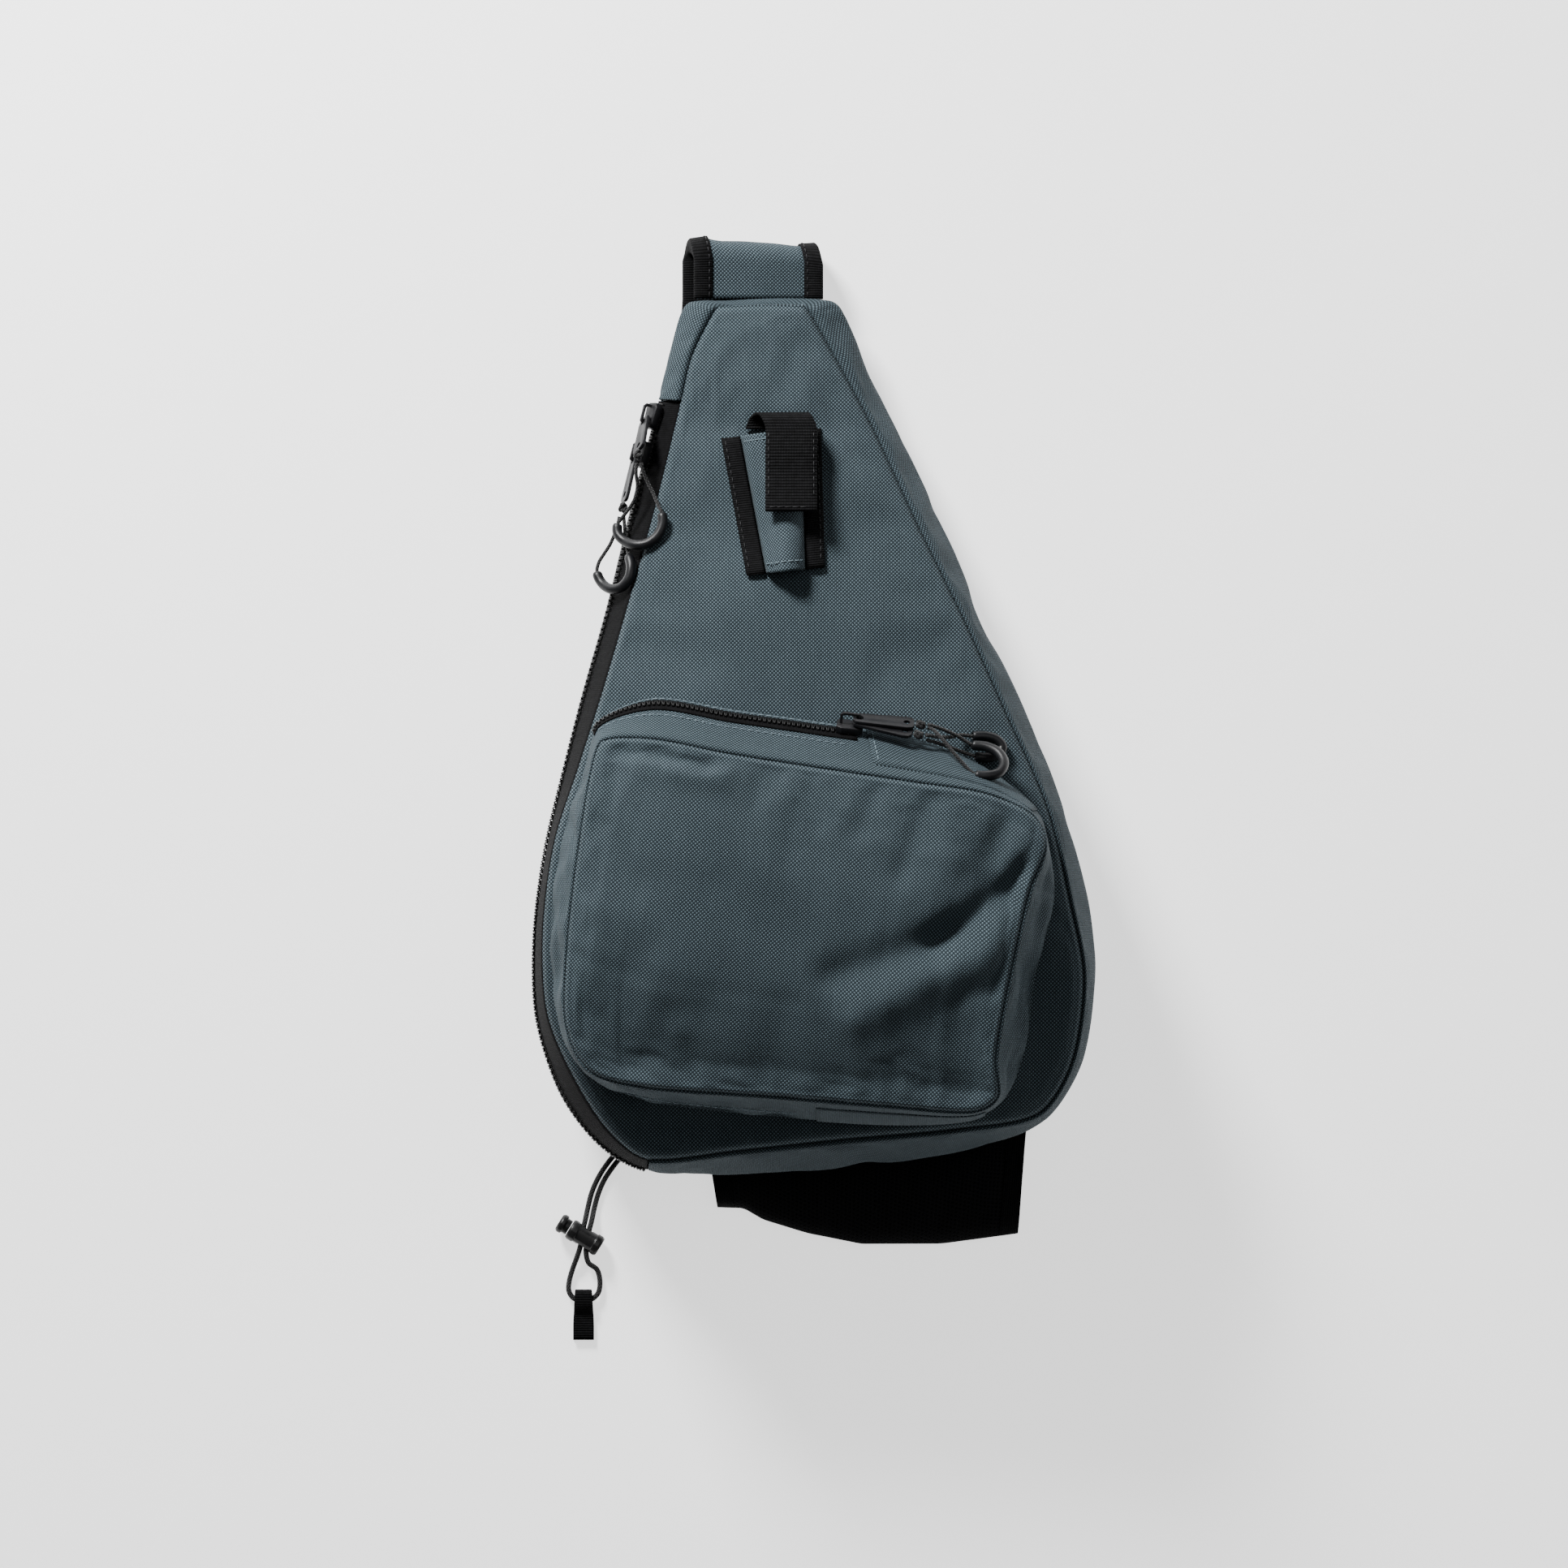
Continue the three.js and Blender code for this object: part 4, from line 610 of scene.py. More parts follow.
# Each pull cord: its grip's first and last point, the way its knot lies, its route
PULL_CORDS = {
    "main_pull_upper": (6, 13, (-0.08, -0.71, 0.70), points_of([
        (-88.2, 138.8, 53.4), (-88.4, 133.5, 53.0), (-87.8, 128.0, 51.6), (-88.6, 122.5, 50.2),
        (-91.2, 117.5, 49.0), (-94.6, 113.0, 48.2), (-97.6, 108.6, 48.0), (-97.6, 104.0, 49.2),
        (-94.0, 100.0, 52.0), (-88.5, 98.0, 56.5), (-82.5, 98.8, 58.2), (-77.5, 102.8, 58.4),
        (-75.2, 108.4, 57.6), (-75.6, 113.6, 56.4), (-77.5, 118.0, 54.6), (-80.0, 124.0, 52.2),
        (-83.0, 130.0, 52.0), (-85.0, 135.0, 53.0), (-86.0, 138.8, 53.4)])),
    "main_pull_lower": (6, 12, (-0.21, -0.95, 0.22), points_of([
        (-96.9, 112.7, 42.8), (-98.0, 108.0, 42.6), (-99.6, 103.5, 42.4), (-101.6, 98.8, 42.6),
        (-104.6, 94.0, 43.6), (-107.2, 89.6, 45.0), (-108.0, 84.6, 46.6), (-105.4, 79.2, 49.0),
        (-100.6, 76.2, 53.8), (-95.4, 77.2, 57.0), (-91.8, 81.6, 58.2), (-90.8, 87.2, 57.2),
        (-92.0, 92.6, 54.0), (-93.2, 97.6, 49.4), (-94.0, 103.0, 45.4), (-94.4, 108.0, 43.2),
        (-94.8, 112.7, 42.8)])),
    "pocket_pull_upper": (3, 9, (1.0, -0.10, 0.0), points_of([
        (55.4, 8.6, 98.0), (62.0, 6.5, 95.5), (70.0, 3.0, 92.5), (77.0, -1.2, 90.5),
        (84.0, -2.2, 91.0), (90.0, -5.2, 93.6), (92.5, -10.2, 98.0), (90.0, -14.8, 102.6),
        (84.5, -16.4, 105.2), (78.0, -15.8, 106.0), (71.0, -9.0, 105.0), (65.0, -2.0, 103.4),
        (60.5, 3.4, 101.6), (57.5, 6.2, 99.2), (55.4, 6.9, 98.4)])),
    "pocket_pull_lower": (4, 10, (0.96, -0.21, 0.17), points_of([
        (54.3, 3.4, 103.0), (60.0, 2.6, 98.5), (66.0, 2.4, 92.5), (72.0, 3.6, 86.5),
        (77.5, 3.0, 84.0), (84.0, 3.0, 82.6), (89.6, 1.2, 81.8), (92.2, -2.4, 82.2),
        (90.0, -6.0, 83.8), (84.6, -7.4, 85.6), (78.8, -6.8, 87.2), (73.0, -5.0, 88.5),
        (66.0, -2.4, 92.0), (60.0, -0.4, 96.5), (54.8, 1.0, 101.8)])),
}


def cord(name, path, diameter):
    """A cord on its route."""
    metres = [point * MM for point in path]
    piece = closed(name, tube_rings(path, diameter / 2, 12), CORD)
    tuple(metres[0])
    reader(path)[0] * MM
    [tuple(p) for p in metres]


def knot(node, axis):
    """An overhand knot of the pull cord, drawn tight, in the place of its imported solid."""
    low, high = (Vector(corner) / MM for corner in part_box(node))
    turn = UP.rotation_difference(Vector(axis).normalized()).to_matrix()
    path = []
    for k in range(KNOT_STEPS):
        t = 2 * math.pi * k / KNOT_STEPS
        bulge = 0.5 * (2 + math.cos(3 * t))
        local = Vector((bulge * math.cos(2 * t), bulge * math.sin(2 * t), 1.7 * math.sin(3 * t)))
        path.append((low + high) / 2 + turn @ local)
    return shape(node, tube_rings(path, 0.85, 10), CORD, wrap_rows=True, wrap_cols=True)


def grip(node, path):
    """A rubber sleeve with rounded ends on a cord's path."""
    rounded = lambda s: GRIP_DIAMETER / 2 - 0.5 * max(0.0, abs(2 * s - 1) - 0.94) / 0.06
    rings = tube_rings(path, rounded, 20) + tube_rings(path, GRIP_BORE / 2, 20)[::-1]
    return shape(node, rings, RUBBER, wrap_rows=True, wrap_cols=True)


TAB_WIDTH = 10.5
TAB_LENGTH = 25.5
TAB_THICKNESS = 1.1
TAB_PLACE = (-116.2, -275.6)
# The tape's way round the cord: down from its top, height before it is scaled
TAB_LOOP = [
    (TAB_LENGTH, 0.5), (15, 0.5), (7, 0.5), (3, 0.5), (1.2, 0.9), (0.6, 1.9), (0.6, 3.2), (1.6, 4.4),
    (3.4, 4.6), (6.4, 4.5), (9, 3.6), (12, 1.95), (18, 1.9), (TAB_LENGTH, 1.9),
]
TAB_RISE = (DRAWCORD_DIAMETER + 1.5 * TAB_THICKNESS + 0.9) / 4.6


def cord_tab():
    """The doubled tape, gathered where the cord pulls on it."""
    path = through([Vector((TAB_PLACE[0], TAB_PLACE[1] - down, TAB_THICKNESS * 0.05 + high * TAB_RISE))
                    for down, high in TAB_LOOP], 3)
    half = lambda k: TAB_WIDTH / 2 * min(0.8 + (TAB_PLACE[1] - path[k].y) / TAB_LENGTH * 0.3, 1.0)
    return band("cord_tab", path, half, TAB_THICKNESS, GROSGRAIN)


def cords_and_fittings():
    """The drawcord with its lock and tab, the zips' sliders and pulls, and the adjuster."""
    fittings = [polished("cord_lock_barrel", PLASTIC, 0.35), polished("cord_lock_button", PLASTIC, 0.35),
                cord_tab()]
    cord("drawcord", through(DRAWCORD_ROUTE, CORD_STEPS), DRAWCORD_DIAMETER)
    for pull, (first, last, axis, route) in PULL_CORDS.items():
        path = through(route, CORD_STEPS)
        held = path[first * CORD_STEPS:last * CORD_STEPS + 1]
        grip_piece = grip(pull.replace("pull", "pull_grip"), held)
        knot_piece = knot(pull.replace("pull", "pull_knot"), axis)
        cord(pull.replace("pull", "pull_cord"), path, PULL_CORD_DIAMETER)
        polished(pull, METAL, 0.3)
    for node in ("main_slider_upper", "main_slider_lower", "pocket_slider"):
        polished(node, METAL, 0.3)
    polished("strap_adjuster", PLASTIC, 0.4)


cords_and_fittings()

# Studio: pale paper, soft light from the upper left
FLOOR_HALF = 6
LIGHT_TARGET = Vector((0, 0, 0.05))
WORLD_STRENGTH = 0.16
floor_mesh = bpy.data.meshes.new("floor")
floor_corners = [(x * FLOOR_HALF, y * FLOOR_HALF, 0) for x, y in ((-1, -1), (1, -1), (1, 1), (-1, 1))]
floor_mesh.from_pydata(floor_corners, [], [(0, 1, 2, 3)])
floor = add_object("floor", floor_mesh)
floor_mesh.materials.append(plain_floor())

# Each light: name, place, size, power
LIGHTS = [("key", (-0.75, 1.3, 0.85), 0.4, 74.0), ("fill", (1.2, 0.6, 2.4), 1.6, 10.0)]
for name, place, size, power in LIGHTS:
    light = bpy.data.lights.new(name, "AREA")
    light.size = size
    light.energy = power
    lamp = add_object(name, light)
    lamp.location = place
    lamp.rotation_euler = (LIGHT_TARGET - Vector(place)).to_track_quat("-Z", "Y").to_euler()
world = bpy.data.worlds.new("studio")
world.use_nodes = True
background = world.node_tree.nodes["Background"].inputs
background["Color"].default_value = (1.0, 1.0, 1.0, 1.0)
background["Strength"].default_value = WORLD_STRENGTH
bpy.context.scene.world = world

# Bag body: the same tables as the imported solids
BAG_LENGTH = 434.0
BAG_HALF_WIDTH = 138.5
BAG_FOOT_Y = -211.5
BAG_DEPTH = 84.0
PANEL_CROWN = 8.0
GUSSET_TUCK = 12.0
WAIST_SHARE = 0.45
WALL = 2.0
GAP = 0.3
SEAT_GAP = 0.6
# The body's rim, clockwise from the top left: side and height at the waist, then at the front seam
BODY_EDGE = [
    (-0.485, 0.981, -0.383, 0.972), (-0.450, 0.996, -0.348, 0.989), (0.063, 0.997, -0.038, 0.990),
    (0.118, 0.976, 0.009, 0.970), (0.286, 0.858, 0.206, 0.853), (0.452, 0.745, 0.371, 0.737),
    (0.604, 0.633, 0.534, 0.628), (0.758, 0.520, 0.682, 0.521), (0.892, 0.408, 0.831, 0.411),
    (0.976, 0.306, 0.907, 0.306), (1.000, 0.217, 0.956, 0.221), (0.956, 0.124, 0.917, 0.127),
    (0.825, 0.055, 0.798, 0.066), (0.548, 0.021, 0.510, 0.048), (0.138, 0.001, 0.106, 0.036),
    (-0.287, -0.007, -0.270, 0.023), (-0.595, -0.003, -0.589, 0.013), (-0.776, 0.027, -0.727, 0.043),
    (-0.922, 0.089, -0.847, 0.101), (-0.995, 0.175, -0.950, 0.179), (-0.997, 0.268, -0.966, 0.271),
    (-0.959, 0.362, -0.927, 0.372), (-0.901, 0.455, -0.841, 0.459), (-0.838, 0.541, -0.761, 0.540),
    (-0.753, 0.638, -0.673, 0.638), (-0.666, 0.755, -0.576, 0.752), (-0.562, 0.884, -0.480, 0.880),
    (-0.526, 0.930, -0.444, 0.930),
]
ROWS = len(BODY_EDGE)
ZIP_FOOT_ROW = 16
ZIP_HEAD_ROW = 26
# How deep the bag is: share of its length, share of its full depth
SEAM_HEIGHT = [
    (-0.01, 0.85), (0.05, 0.90), (0.12, 0.96), (0.22, 1.00), (0.31, 1.00), (0.41, 0.96),
    (0.52, 0.88), (0.63, 0.76), (0.74, 0.62), (0.85, 0.49), (0.95, 0.40), (1.00, 0.36),
]
ZIP_LOWER_EDGE = 0.42
ZIP_COIL_LINE = 0.72

STRAP_WIDTH = 65.0
STRAP_THICKNESS = 5.0
BINDING_WIDTH = 9.5
BINDING_THICKNESS = 1.0
STRAP_FOLD_RADIUS = 7.0
STRAP_FOLD_REACH = 30.0
STRAP_PADDED_RUN = 290.0
STRAP_TAPER = 60.0
STRAP_END_WIDTH = 40.0
STRAP_SKEW = 6.0
STRAP_DRIFT = 28.0
WEBBING_WIDTH = 30.0
WEBBING_THICKNESS = 1.4
WEBBING_TAIL = 75.0
ADJUSTER_THICKNESS = 2.6
ADJUSTER_BAR = 4.8
ADJUSTER_SLOT = 5.0


def lerp(a, b, share):
    return a + (b - a) * share


def place_x(side):
    return side * BAG_HALF_WIDTH


def place_y(up):
    return BAG_FOOT_Y + up * BAG_LENGTH


def up_of(y):
    return (y - BAG_FOOT_Y) / BAG_LENGTH


def smooth_step(low, high, value):
    """0 at low, 1 at high, and smooth between; low may be above high."""
    share = min(max((value - low) / (high - low), 0.0), 1.0)
    return share * share * (3 - 2 * share)


def read(rows, at, column=1):
    """A column of a table at a place between its rows."""
    if at <= rows[0][0]:
        return rows[0][column]
    for low, high in zip(rows, rows[1:]):
        if at < high[0]:
            return lerp(low[column], high[column], (at - low[0]) / (high[0] - low[0]))
    return rows[-1][column]


def smooth_row(rows, at):
    """A closed table's row at a fractional row number, on a smooth curve that doesn't overshoot."""
    k = math.floor(at)
    t = at - k
    before, low, high, after = [rows[(k + step) % len(rows)] for step in (-1, 0, 1, 2)]
    reach = 0.9 * math.dist(low[:2], high[:2])
    slopes = []
    for first, last in ((before, high), (low, after)):
        length = math.dist(first[:2], last[:2]) / 2
        scale = 0.5 * min(1.0, reach / length)
        slopes.append([(b - a) * scale for a, b in zip(first, last)])
    weights = (2 * t ** 3 - 3 * t * t + 1, t ** 3 - 2 * t * t + t,
               3 * t * t - 2 * t ** 3, t ** 3 - t * t)
    return [weights[0] * a + weights[1] * m + weights[2] * b + weights[3] * n
            for a, m, b, n in zip(low, slopes[0], high, slopes[1])]


strap_root_x = place_x((BODY_EDGE[1][0] + BODY_EDGE[2][0]) / 2) - 1
strap_root_y = place_y(1)
pad_end_y = strap_root_y - STRAP_PADDED_RUN
strap_base_z = STRAP_THICKNESS / 2 + GAP + BINDING_THICKNESS
tail_z = WEBBING_THICKNESS / 2
webbing_run_z = tail_z + WEBBING_THICKNESS + GAP
adjuster_z = webbing_run_z + WEBBING_THICKNESS / 2 + GAP
webbing_turn_z = adjuster_z + ADJUSTER_THICKNESS + GAP + WEBBING_THICKNESS / 2
strap_room = 3 * GAP + max(2 * strap_base_z, webbing_turn_z + WEBBING_THICKNESS / 2)


def strap_return_x(y):
    share = min(max((strap_root_y - y) / STRAP_PADDED_RUN, 0.0), 1.4)
    return strap_root_x - STRAP_SKEW - STRAP_DRIFT * share


def back_lift(x, y):
    away = abs(x - strap_return_x(y))
    across_share = 1 - smooth_step(STRAP_WIDTH / 2 + 5, STRAP_WIDTH / 2 + 30, away)
    return strap_room * across_share * smooth_step(place_y(0.02), place_y(0.10), y)


def seam_height(y):
    return BAG_DEPTH * read(SEAM_HEIGHT, up_of(y))


SPINE = (Vector((place_x(-0.18), place_y(0.9), 0)), Vector((0, place_y(0.34), 0)))


def body_side(row, share):
    """The bag's side at a row of its edge table, from the back seam (0) to the front seam (1)."""
    side, up, seam_side, seam_up = smooth_row(BODY_EDGE, row)
    waist = Vector((place_x(side), place_y(up), 0))
    along = SPINE[1] - SPINE[0]
    at = min(max((waist - SPINE[0]).dot(along) / along.length_squared, 0.0), 1.0)
    inward = (SPINE[0] + along * at - waist).normalized()
    back = waist + inward * GUSSET_TUCK
    front = Vector((place_x(seam_side), place_y(seam_up), 0))
    back.z = back_lift(back.x, back.y) + WALL + GAP
    front.z = seam_height(front.y) - WALL - GAP
    waist.z = lerp(back.z, front.z, WAIST_SHARE)
    bend = waist * 2 - back * 0.5 - front * 0.5
    return back * (1 - share) ** 2 + bend * 2 * share * (1 - share) + front * share ** 2


def ripple(point, scale, seed, stretch=(1, 1, 1)):
    """Smooth unevenness from -1 to 1 at a place in mm; scale is the width of its bumps."""
    place = Vector((point.x * stretch[0], point.y * stretch[1], point.z * stretch[2])) / scale
    return noise.noise(place + Vector((seed, seed * 1.7, seed * 0.3)))


def side_rows(first, last, steps, shares):
    return [[body_side((lerp(first, last, k / steps)) % ROWS, share) for share in shares]
            for k in range(steps + 1)]


GAP_ROW = GAP / (body_side(ZIP_FOOT_ROW, 1) - body_side(ZIP_FOOT_ROW + 1, 1)).length
GAP_SHARE = GAP / (body_side(ZIP_HEAD_ROW, 1) - body_side(ZIP_HEAD_ROW, 0)).length
BODY_MIDDLE = (0.0, -60.0, 40.0)


def patch(rim, corners, turns, lines):
    """A grid over a closed rim that is cut into four sides at its corner rows, clockwise."""
    first, second, third, fourth = corners
    top, right, foot, left = (lambda s, a=a, b=b: rim(lerp(a, b, s)) for a, b in (
        (first, second), (second, third), (fourth, third), (first + turns, fourth)))
    rows = []
    for v in lines[1]:
        row = []
        for u in lines[0]:
            sides = top(u).lerp(foot(u), v) + left(v).lerp(right(v), u)
            row.append(sides - top(0).lerp(top(1), u).lerp(foot(0).lerp(foot(1), u), v))
        rows.append(row)
    return rows


SEAM_STEPS = [0.0, 0.7, 1.4, 2.2, 3.2, 4.6, 6.5, 9.0]
SEAM_BAND = 12.0


def spread_lines(count, span, at_start=True):
    """Shares from 0 to 1 of a span in mm, closer together beside the seams at its ends."""
    near = [step / span for step in SEAM_STEPS]
    first = SEAM_BAND / span if at_start else 0.0
    inner = [lerp(first, 1 - SEAM_BAND / span, k / count) for k in range(count + 1)]
    return (near if at_start else []) + inner + [1 - share for share in near[::-1]]


def rim_distance(rim, rows, steps=14):
    """How far a place lies from a rim, seen from above."""
    points = [rim(k / steps) for k in range(rows * steps)]
    tree = KDTree(len(points))
    for k, point in enumerate(points):
        tree.insert((point.x, point.y, 0.0), k)
    tree.balance()

    def distance(point):
        place = Vector((point.x, point.y))
        k = tree.find((point.x, point.y, 0.0))[1]
        best = 1e9
        for a, b in ((points[k - 1].xy, points[k].xy), (points[k].xy, points[(k + 1) % len(points)].xy)):
            at = min(max((place - a).dot(b - a) / max((b - a).length_squared, 1e-9), 0.0), 1.0)
            best = min(best, (place - a.lerp(b, at)).length)
        return best
    return distance


def puffed(away, high, start, reach):
    """Cloth beside a seam: it rises within start, and sinks again over reach."""
    return high * (1 - math.exp(-away / start)) * math.exp(-away / reach)


def seam_profile(away, depth, puff, reach=1.3):
    """Across a seam: down into its stitched line, and up where the cloth puffs beside it."""
    return puffed(away, puff, 2.0, 9.0) - depth * math.exp(-(away / reach) ** 2)


def crowned(away, reach):
    """0 at a panel's rim and 1 farther in than reach."""
    return 1 - (1 - min(away / reach, 1.0)) ** 2


def top_end(point):
    """1 at the bag's top edge, where the front panel runs on over it without a seam."""
    return smooth_step(place_y(0.984), place_y(0.995), point.y)


BODY_CORNERS = (1.0, 2.0, 12.2, 17.4)
BODY_SPAN = (210.0, 400.0)
CROWN_REACH = 60.0
PANEL_HELD = 5.0
FRONT_SEAM_DEPTH = 2.7
FRONT_SEAM_PUFF = 1.2
front_edge = lambda row: body_side(row % ROWS, 1)
front_away = rim_distance(front_edge, ROWS)


def body_patch(edge, across, along):
    """A grid over the bag's front or back, with the number of its lines each way."""
    lines = [spread_lines(count, span) for count, span in zip((across, along), BODY_SPAN)]
    return patch(edge, BODY_CORNERS, ROWS, lines)


def front_panel():
    """Crowned and a little uneven, with a sunk seam round it."""
    rows = body_patch(front_edge, 50, 76)
    for row in rows:
        for point in row:
            away = front_away(point)
            seam = seam_profile(away, FRONT_SEAM_DEPTH, FRONT_SEAM_PUFF) * (1 - top_end(point))
            point.z = seam_height(point.y) + (PANEL_CROWN - 1) * crowned(away, CROWN_REACH) + seam
    piece = shape("front_panel", rows, CLOTH, planar=0.0)
    inner = lambda co: smooth_step(3, 30, front_away(co))
    move_points(piece, lambda co: 1.3 * inner(co) * ripple(co, 46, 3.1, (1, 0.55, 0))
                + 0.6 * inner(co) * ripple(co, 17, 8.4, (1, 0.7, 0)))
    relax(piece, lambda co: 1.0 if front_away(co) < PANEL_HELD else 0.0,
          growth=0.006, pressure=0.25, cap=2.5)
    return piece


front = front_panel()
panel_top = height_of(front)
thicken(front, WALL, 1)


def back_panel():
    """Flat, and raised over the strap under it."""
    rows = body_patch(lambda row: body_side(row % ROWS, 0), 30, 48)
    for row in rows:
        for point in row:
            point.z = back_lift(point.x, point.y) + WALL
    thicken(shape("back_panel", rows, CLOTH, planar=0.0), WALL, 1)


back_panel()


def gusset(node, first, last, steps, shares, growth, seed, puff):
    """A side wall of the bag, slack between its seams; puff is its rise beside the front seam."""
    rows = side_rows(first, last, steps, shares)
    for row in rows:
        seam = row[-1].copy()
        out = (row[len(row) // 2] - seam).xy.normalized()
        high = puff * (1 - top_end(seam))
        for point in row:
            rise = puffed((point - seam).length, high, 1.6, 11.0)
            point += Vector((out.x * 0.35 * rise, out.y * 0.35 * rise, rise))
    # The side wall takes the darker copy of the cloth, as painted shade.
    piece = shape(node, rows, SHADED_WALL_CLOTH, out_from=BODY_MIDDLE)
    fixed = held_at([point for row in rows for point in row[:1] + row[-5:]] + rows[0] + rows[-1])
    move_points(piece, lambda co: (1 - fixed(co)) * 0.6 * ripple(co, 21, seed, (1, 1, 0.5)))
    relax(piece, fixed, growth, pressure=0.3, cap=1.5)
    thicken(piece, WALL, 1)


LOWER_TOP = ZIP_LOWER_EDGE - 3 * GAP_SHARE
gusset("side_gusset", ZIP_HEAD_ROW + GAP_ROW, ZIP_FOOT_ROW + ROWS - GAP_ROW, 170,
       spread_lines(12, 70.0, False), growth=0.008, seed=4.7, puff=3.8)
gusset("zip_gusset", ZIP_FOOT_ROW + GAP_ROW, ZIP_HEAD_ROW - GAP_ROW, 90,
       [LOWER_TOP * k / 8 for k in range(9)], growth=0.01, seed=9.2, puff=0.0)


# Zips
def shifted(rows, distance):
    """A grid of points moved out along its normals."""
    moved = []
    for k, row in enumerate(rows):
        line = []
        for n, point in enumerate(row):
            ahead = rows[min(k + 1, len(rows) - 1)][n] - rows[max(k - 1, 0)][n]
            across = row[min(n + 1, len(row) - 1)] - row[max(n - 1, 0)]
            line.append(point + across.cross(ahead).normalized() * distance)
        moved.append(line)
    return moved


def coil(name, centers, outs, acrosses, width, height, pitch, wire):
    """Zip coil: small arches that cross the line of the zip in turn."""
    bundle = Bundle()
    total, at = reader(centers)
    angles = [math.pi * k / 6 for k in range(7)]
    for tooth in range(1, int(total / pitch)):
        center, out, across = (at(tooth * pitch, values) for values in (centers, outs, acrosses))
        out, across = out.normalized(), across.normalized()
        ahead = out.cross(across).normalized()
        lean = 0.35 * (1 if tooth % 2 else -1)
        arch = [center + across * (width / 2 * math.cos(angle)) + out * (height * math.sin(angle) ** 0.6)
                + ahead * lean * math.cos(angle) for angle in angles]
        bundle.add(arch, wire, 5, ahead)
    bundle.finish(name, COIL)


def normal_lines(rows, column):
    """Centres, outward directions and across directions along one column of a grid."""
    centers = [row[column] for row in rows]
    outs = [(b[column] - a[column]).normalized() for a, b in zip(rows, shifted(rows, 1.0))]
    acrosses = [(row[column + 1] - row[column - 1]).normalized() for row in rows]
    return centers, outs, acrosses


MAIN_ZIP_SHARES = [
    ZIP_LOWER_EDGE, 0.46, 0.52, 0.58, 0.64, 0.685, 0.70, ZIP_COIL_LINE, 0.74, 0.755, 0.80, 0.86, 0.93, 1,
]
MAIN_ZIP_TROUGH = (6, 7, 8)
MAIN_TAPE_WALL = 1.2


def main_zip():
    """The tape, sunk a little along the line of its coil."""
    rows = side_rows(ZIP_FOOT_ROW + GAP_ROW, ZIP_HEAD_ROW - GAP_ROW, 120, MAIN_ZIP_SHARES)
    coil_lines = normal_lines(rows, MAIN_ZIP_SHARES.index(ZIP_COIL_LINE))
    for row, sunk in zip(rows, shifted(rows, -0.5)):
        for n in MAIN_ZIP_TROUGH:
            row[n] = sunk[n]
    thicken(surface("main_zip_tape", rows, TAPE, replaced=["main_zip"], out_from=BODY_MIDDLE),
            MAIN_TAPE_WALL, 1)
    coil("main_zip_coil", *coil_lines, width=4.6, height=1.3, pitch=1.5, wire=0.45)


main_zip()


# Front pocket: side wall on the front panel, slack face with its folds, zip in the top wall
POCKET_DEPTH = 44.0
POCKET_WALL = 1.6
POCKET_CROWN = 2.0
# The pocket's rim, clockwise: side and height at its foot, then at its face, and its share of the depth
POCKET_EDGE = [
    (-0.767, 0.511, -0.748, 0.488, 0.70), (-0.570, 0.538, -0.565, 0.490, 0.72),
    (-0.298, 0.525, -0.308, 0.474, 0.75), (-0.010, 0.512, -0.012, 0.459, 0.78),
    (0.294, 0.496, 0.343, 0.442, 0.80), (0.594, 0.459, 0.600, 0.429, 0.80),
    (0.800, 0.405, 0.765, 0.405, 0.78), (0.838, 0.355, 0.810, 0.372, 0.80),
    (0.850, 0.310, 0.749, 0.320, 0.85), (0.782, 0.224, 0.685, 0.233, 0.90),
    (0.742, 0.136, 0.631, 0.140, 0.95), (0.674, 0.084, 0.640, 0.092, 1.00),
    (0.551, 0.060, 0.550, 0.074, 1.00), (0.278, 0.055, 0.273, 0.080, 1.00),
    (-0.175, 0.064, -0.182, 0.092, 0.98), (-0.592, 0.081, -0.608, 0.102, 0.92),
    (-0.815, 0.113, -0.800, 0.122, 0.85), (-0.905, 0.176, -0.874, 0.176, 0.80),
    (-0.935, 0.271, -0.864, 0.273, 0.78), (-0.895, 0.377, -0.825, 0.377, 0.74),
    (-0.815, 0.460, -0.785, 0.456, 0.70),
]
POCKET_ROWS = len(POCKET_EDGE)
# Folds of the pocket face: from, to, depth in mm, half width in mm
POCKET_FOLDS = [
    ((0.745, 0.338), (0.420, 0.262), 6.2, 7.5), ((0.480, 0.272), (0.060, 0.225), 3.6, 8.5),
    ((0.660, 0.262), (0.140, 0.178), -3.9, 10.0), ((0.690, 0.300), (0.660, 0.210), 2.4, 6.0),
    ((-0.690, 0.484), (-0.380, 0.462), 3.4, 5.0), ((-0.600, 0.462), (-0.320, 0.446), -1.6, 6.0),
    ((0.420, 0.430), (0.300, 0.340), 1.9, 6.0), ((0.220, 0.440), (0.140, 0.380), 1.5, 4.5),
    ((0.700, 0.408), (0.560, 0.340), 1.2, 7.5), ((0.600, 0.400), (0.420, 0.330), -1.0, 8.0),
    ((0.560, 0.104), (0.420, 0.200), 1.4, 8.5), ((0.360, 0.098), (0.300, 0.170), 0.6, 7.0),
    ((-0.640, 0.118), (-0.500, 0.185), 1.3, 7.5), ((-0.770, 0.190), (-0.560, 0.262), 0.9, 8.5),
    ((-0.200, 0.112), (-0.120, 0.190), 0.7, 8.0), ((0.100, 0.104), (0.050, 0.170), 0.5, 7.0),
    ((-0.790, 0.400), (-0.620, 0.330), 1.2, 8.0), ((-0.300, 0.330), (0.060, 0.240), 1.2, 14.0),
    ((-0.430, 0.110), (-0.400, 0.190), 0.6, 7.0), ((-0.700, 0.300), (-0.420, 0.230), -1.2, 13.0),
]
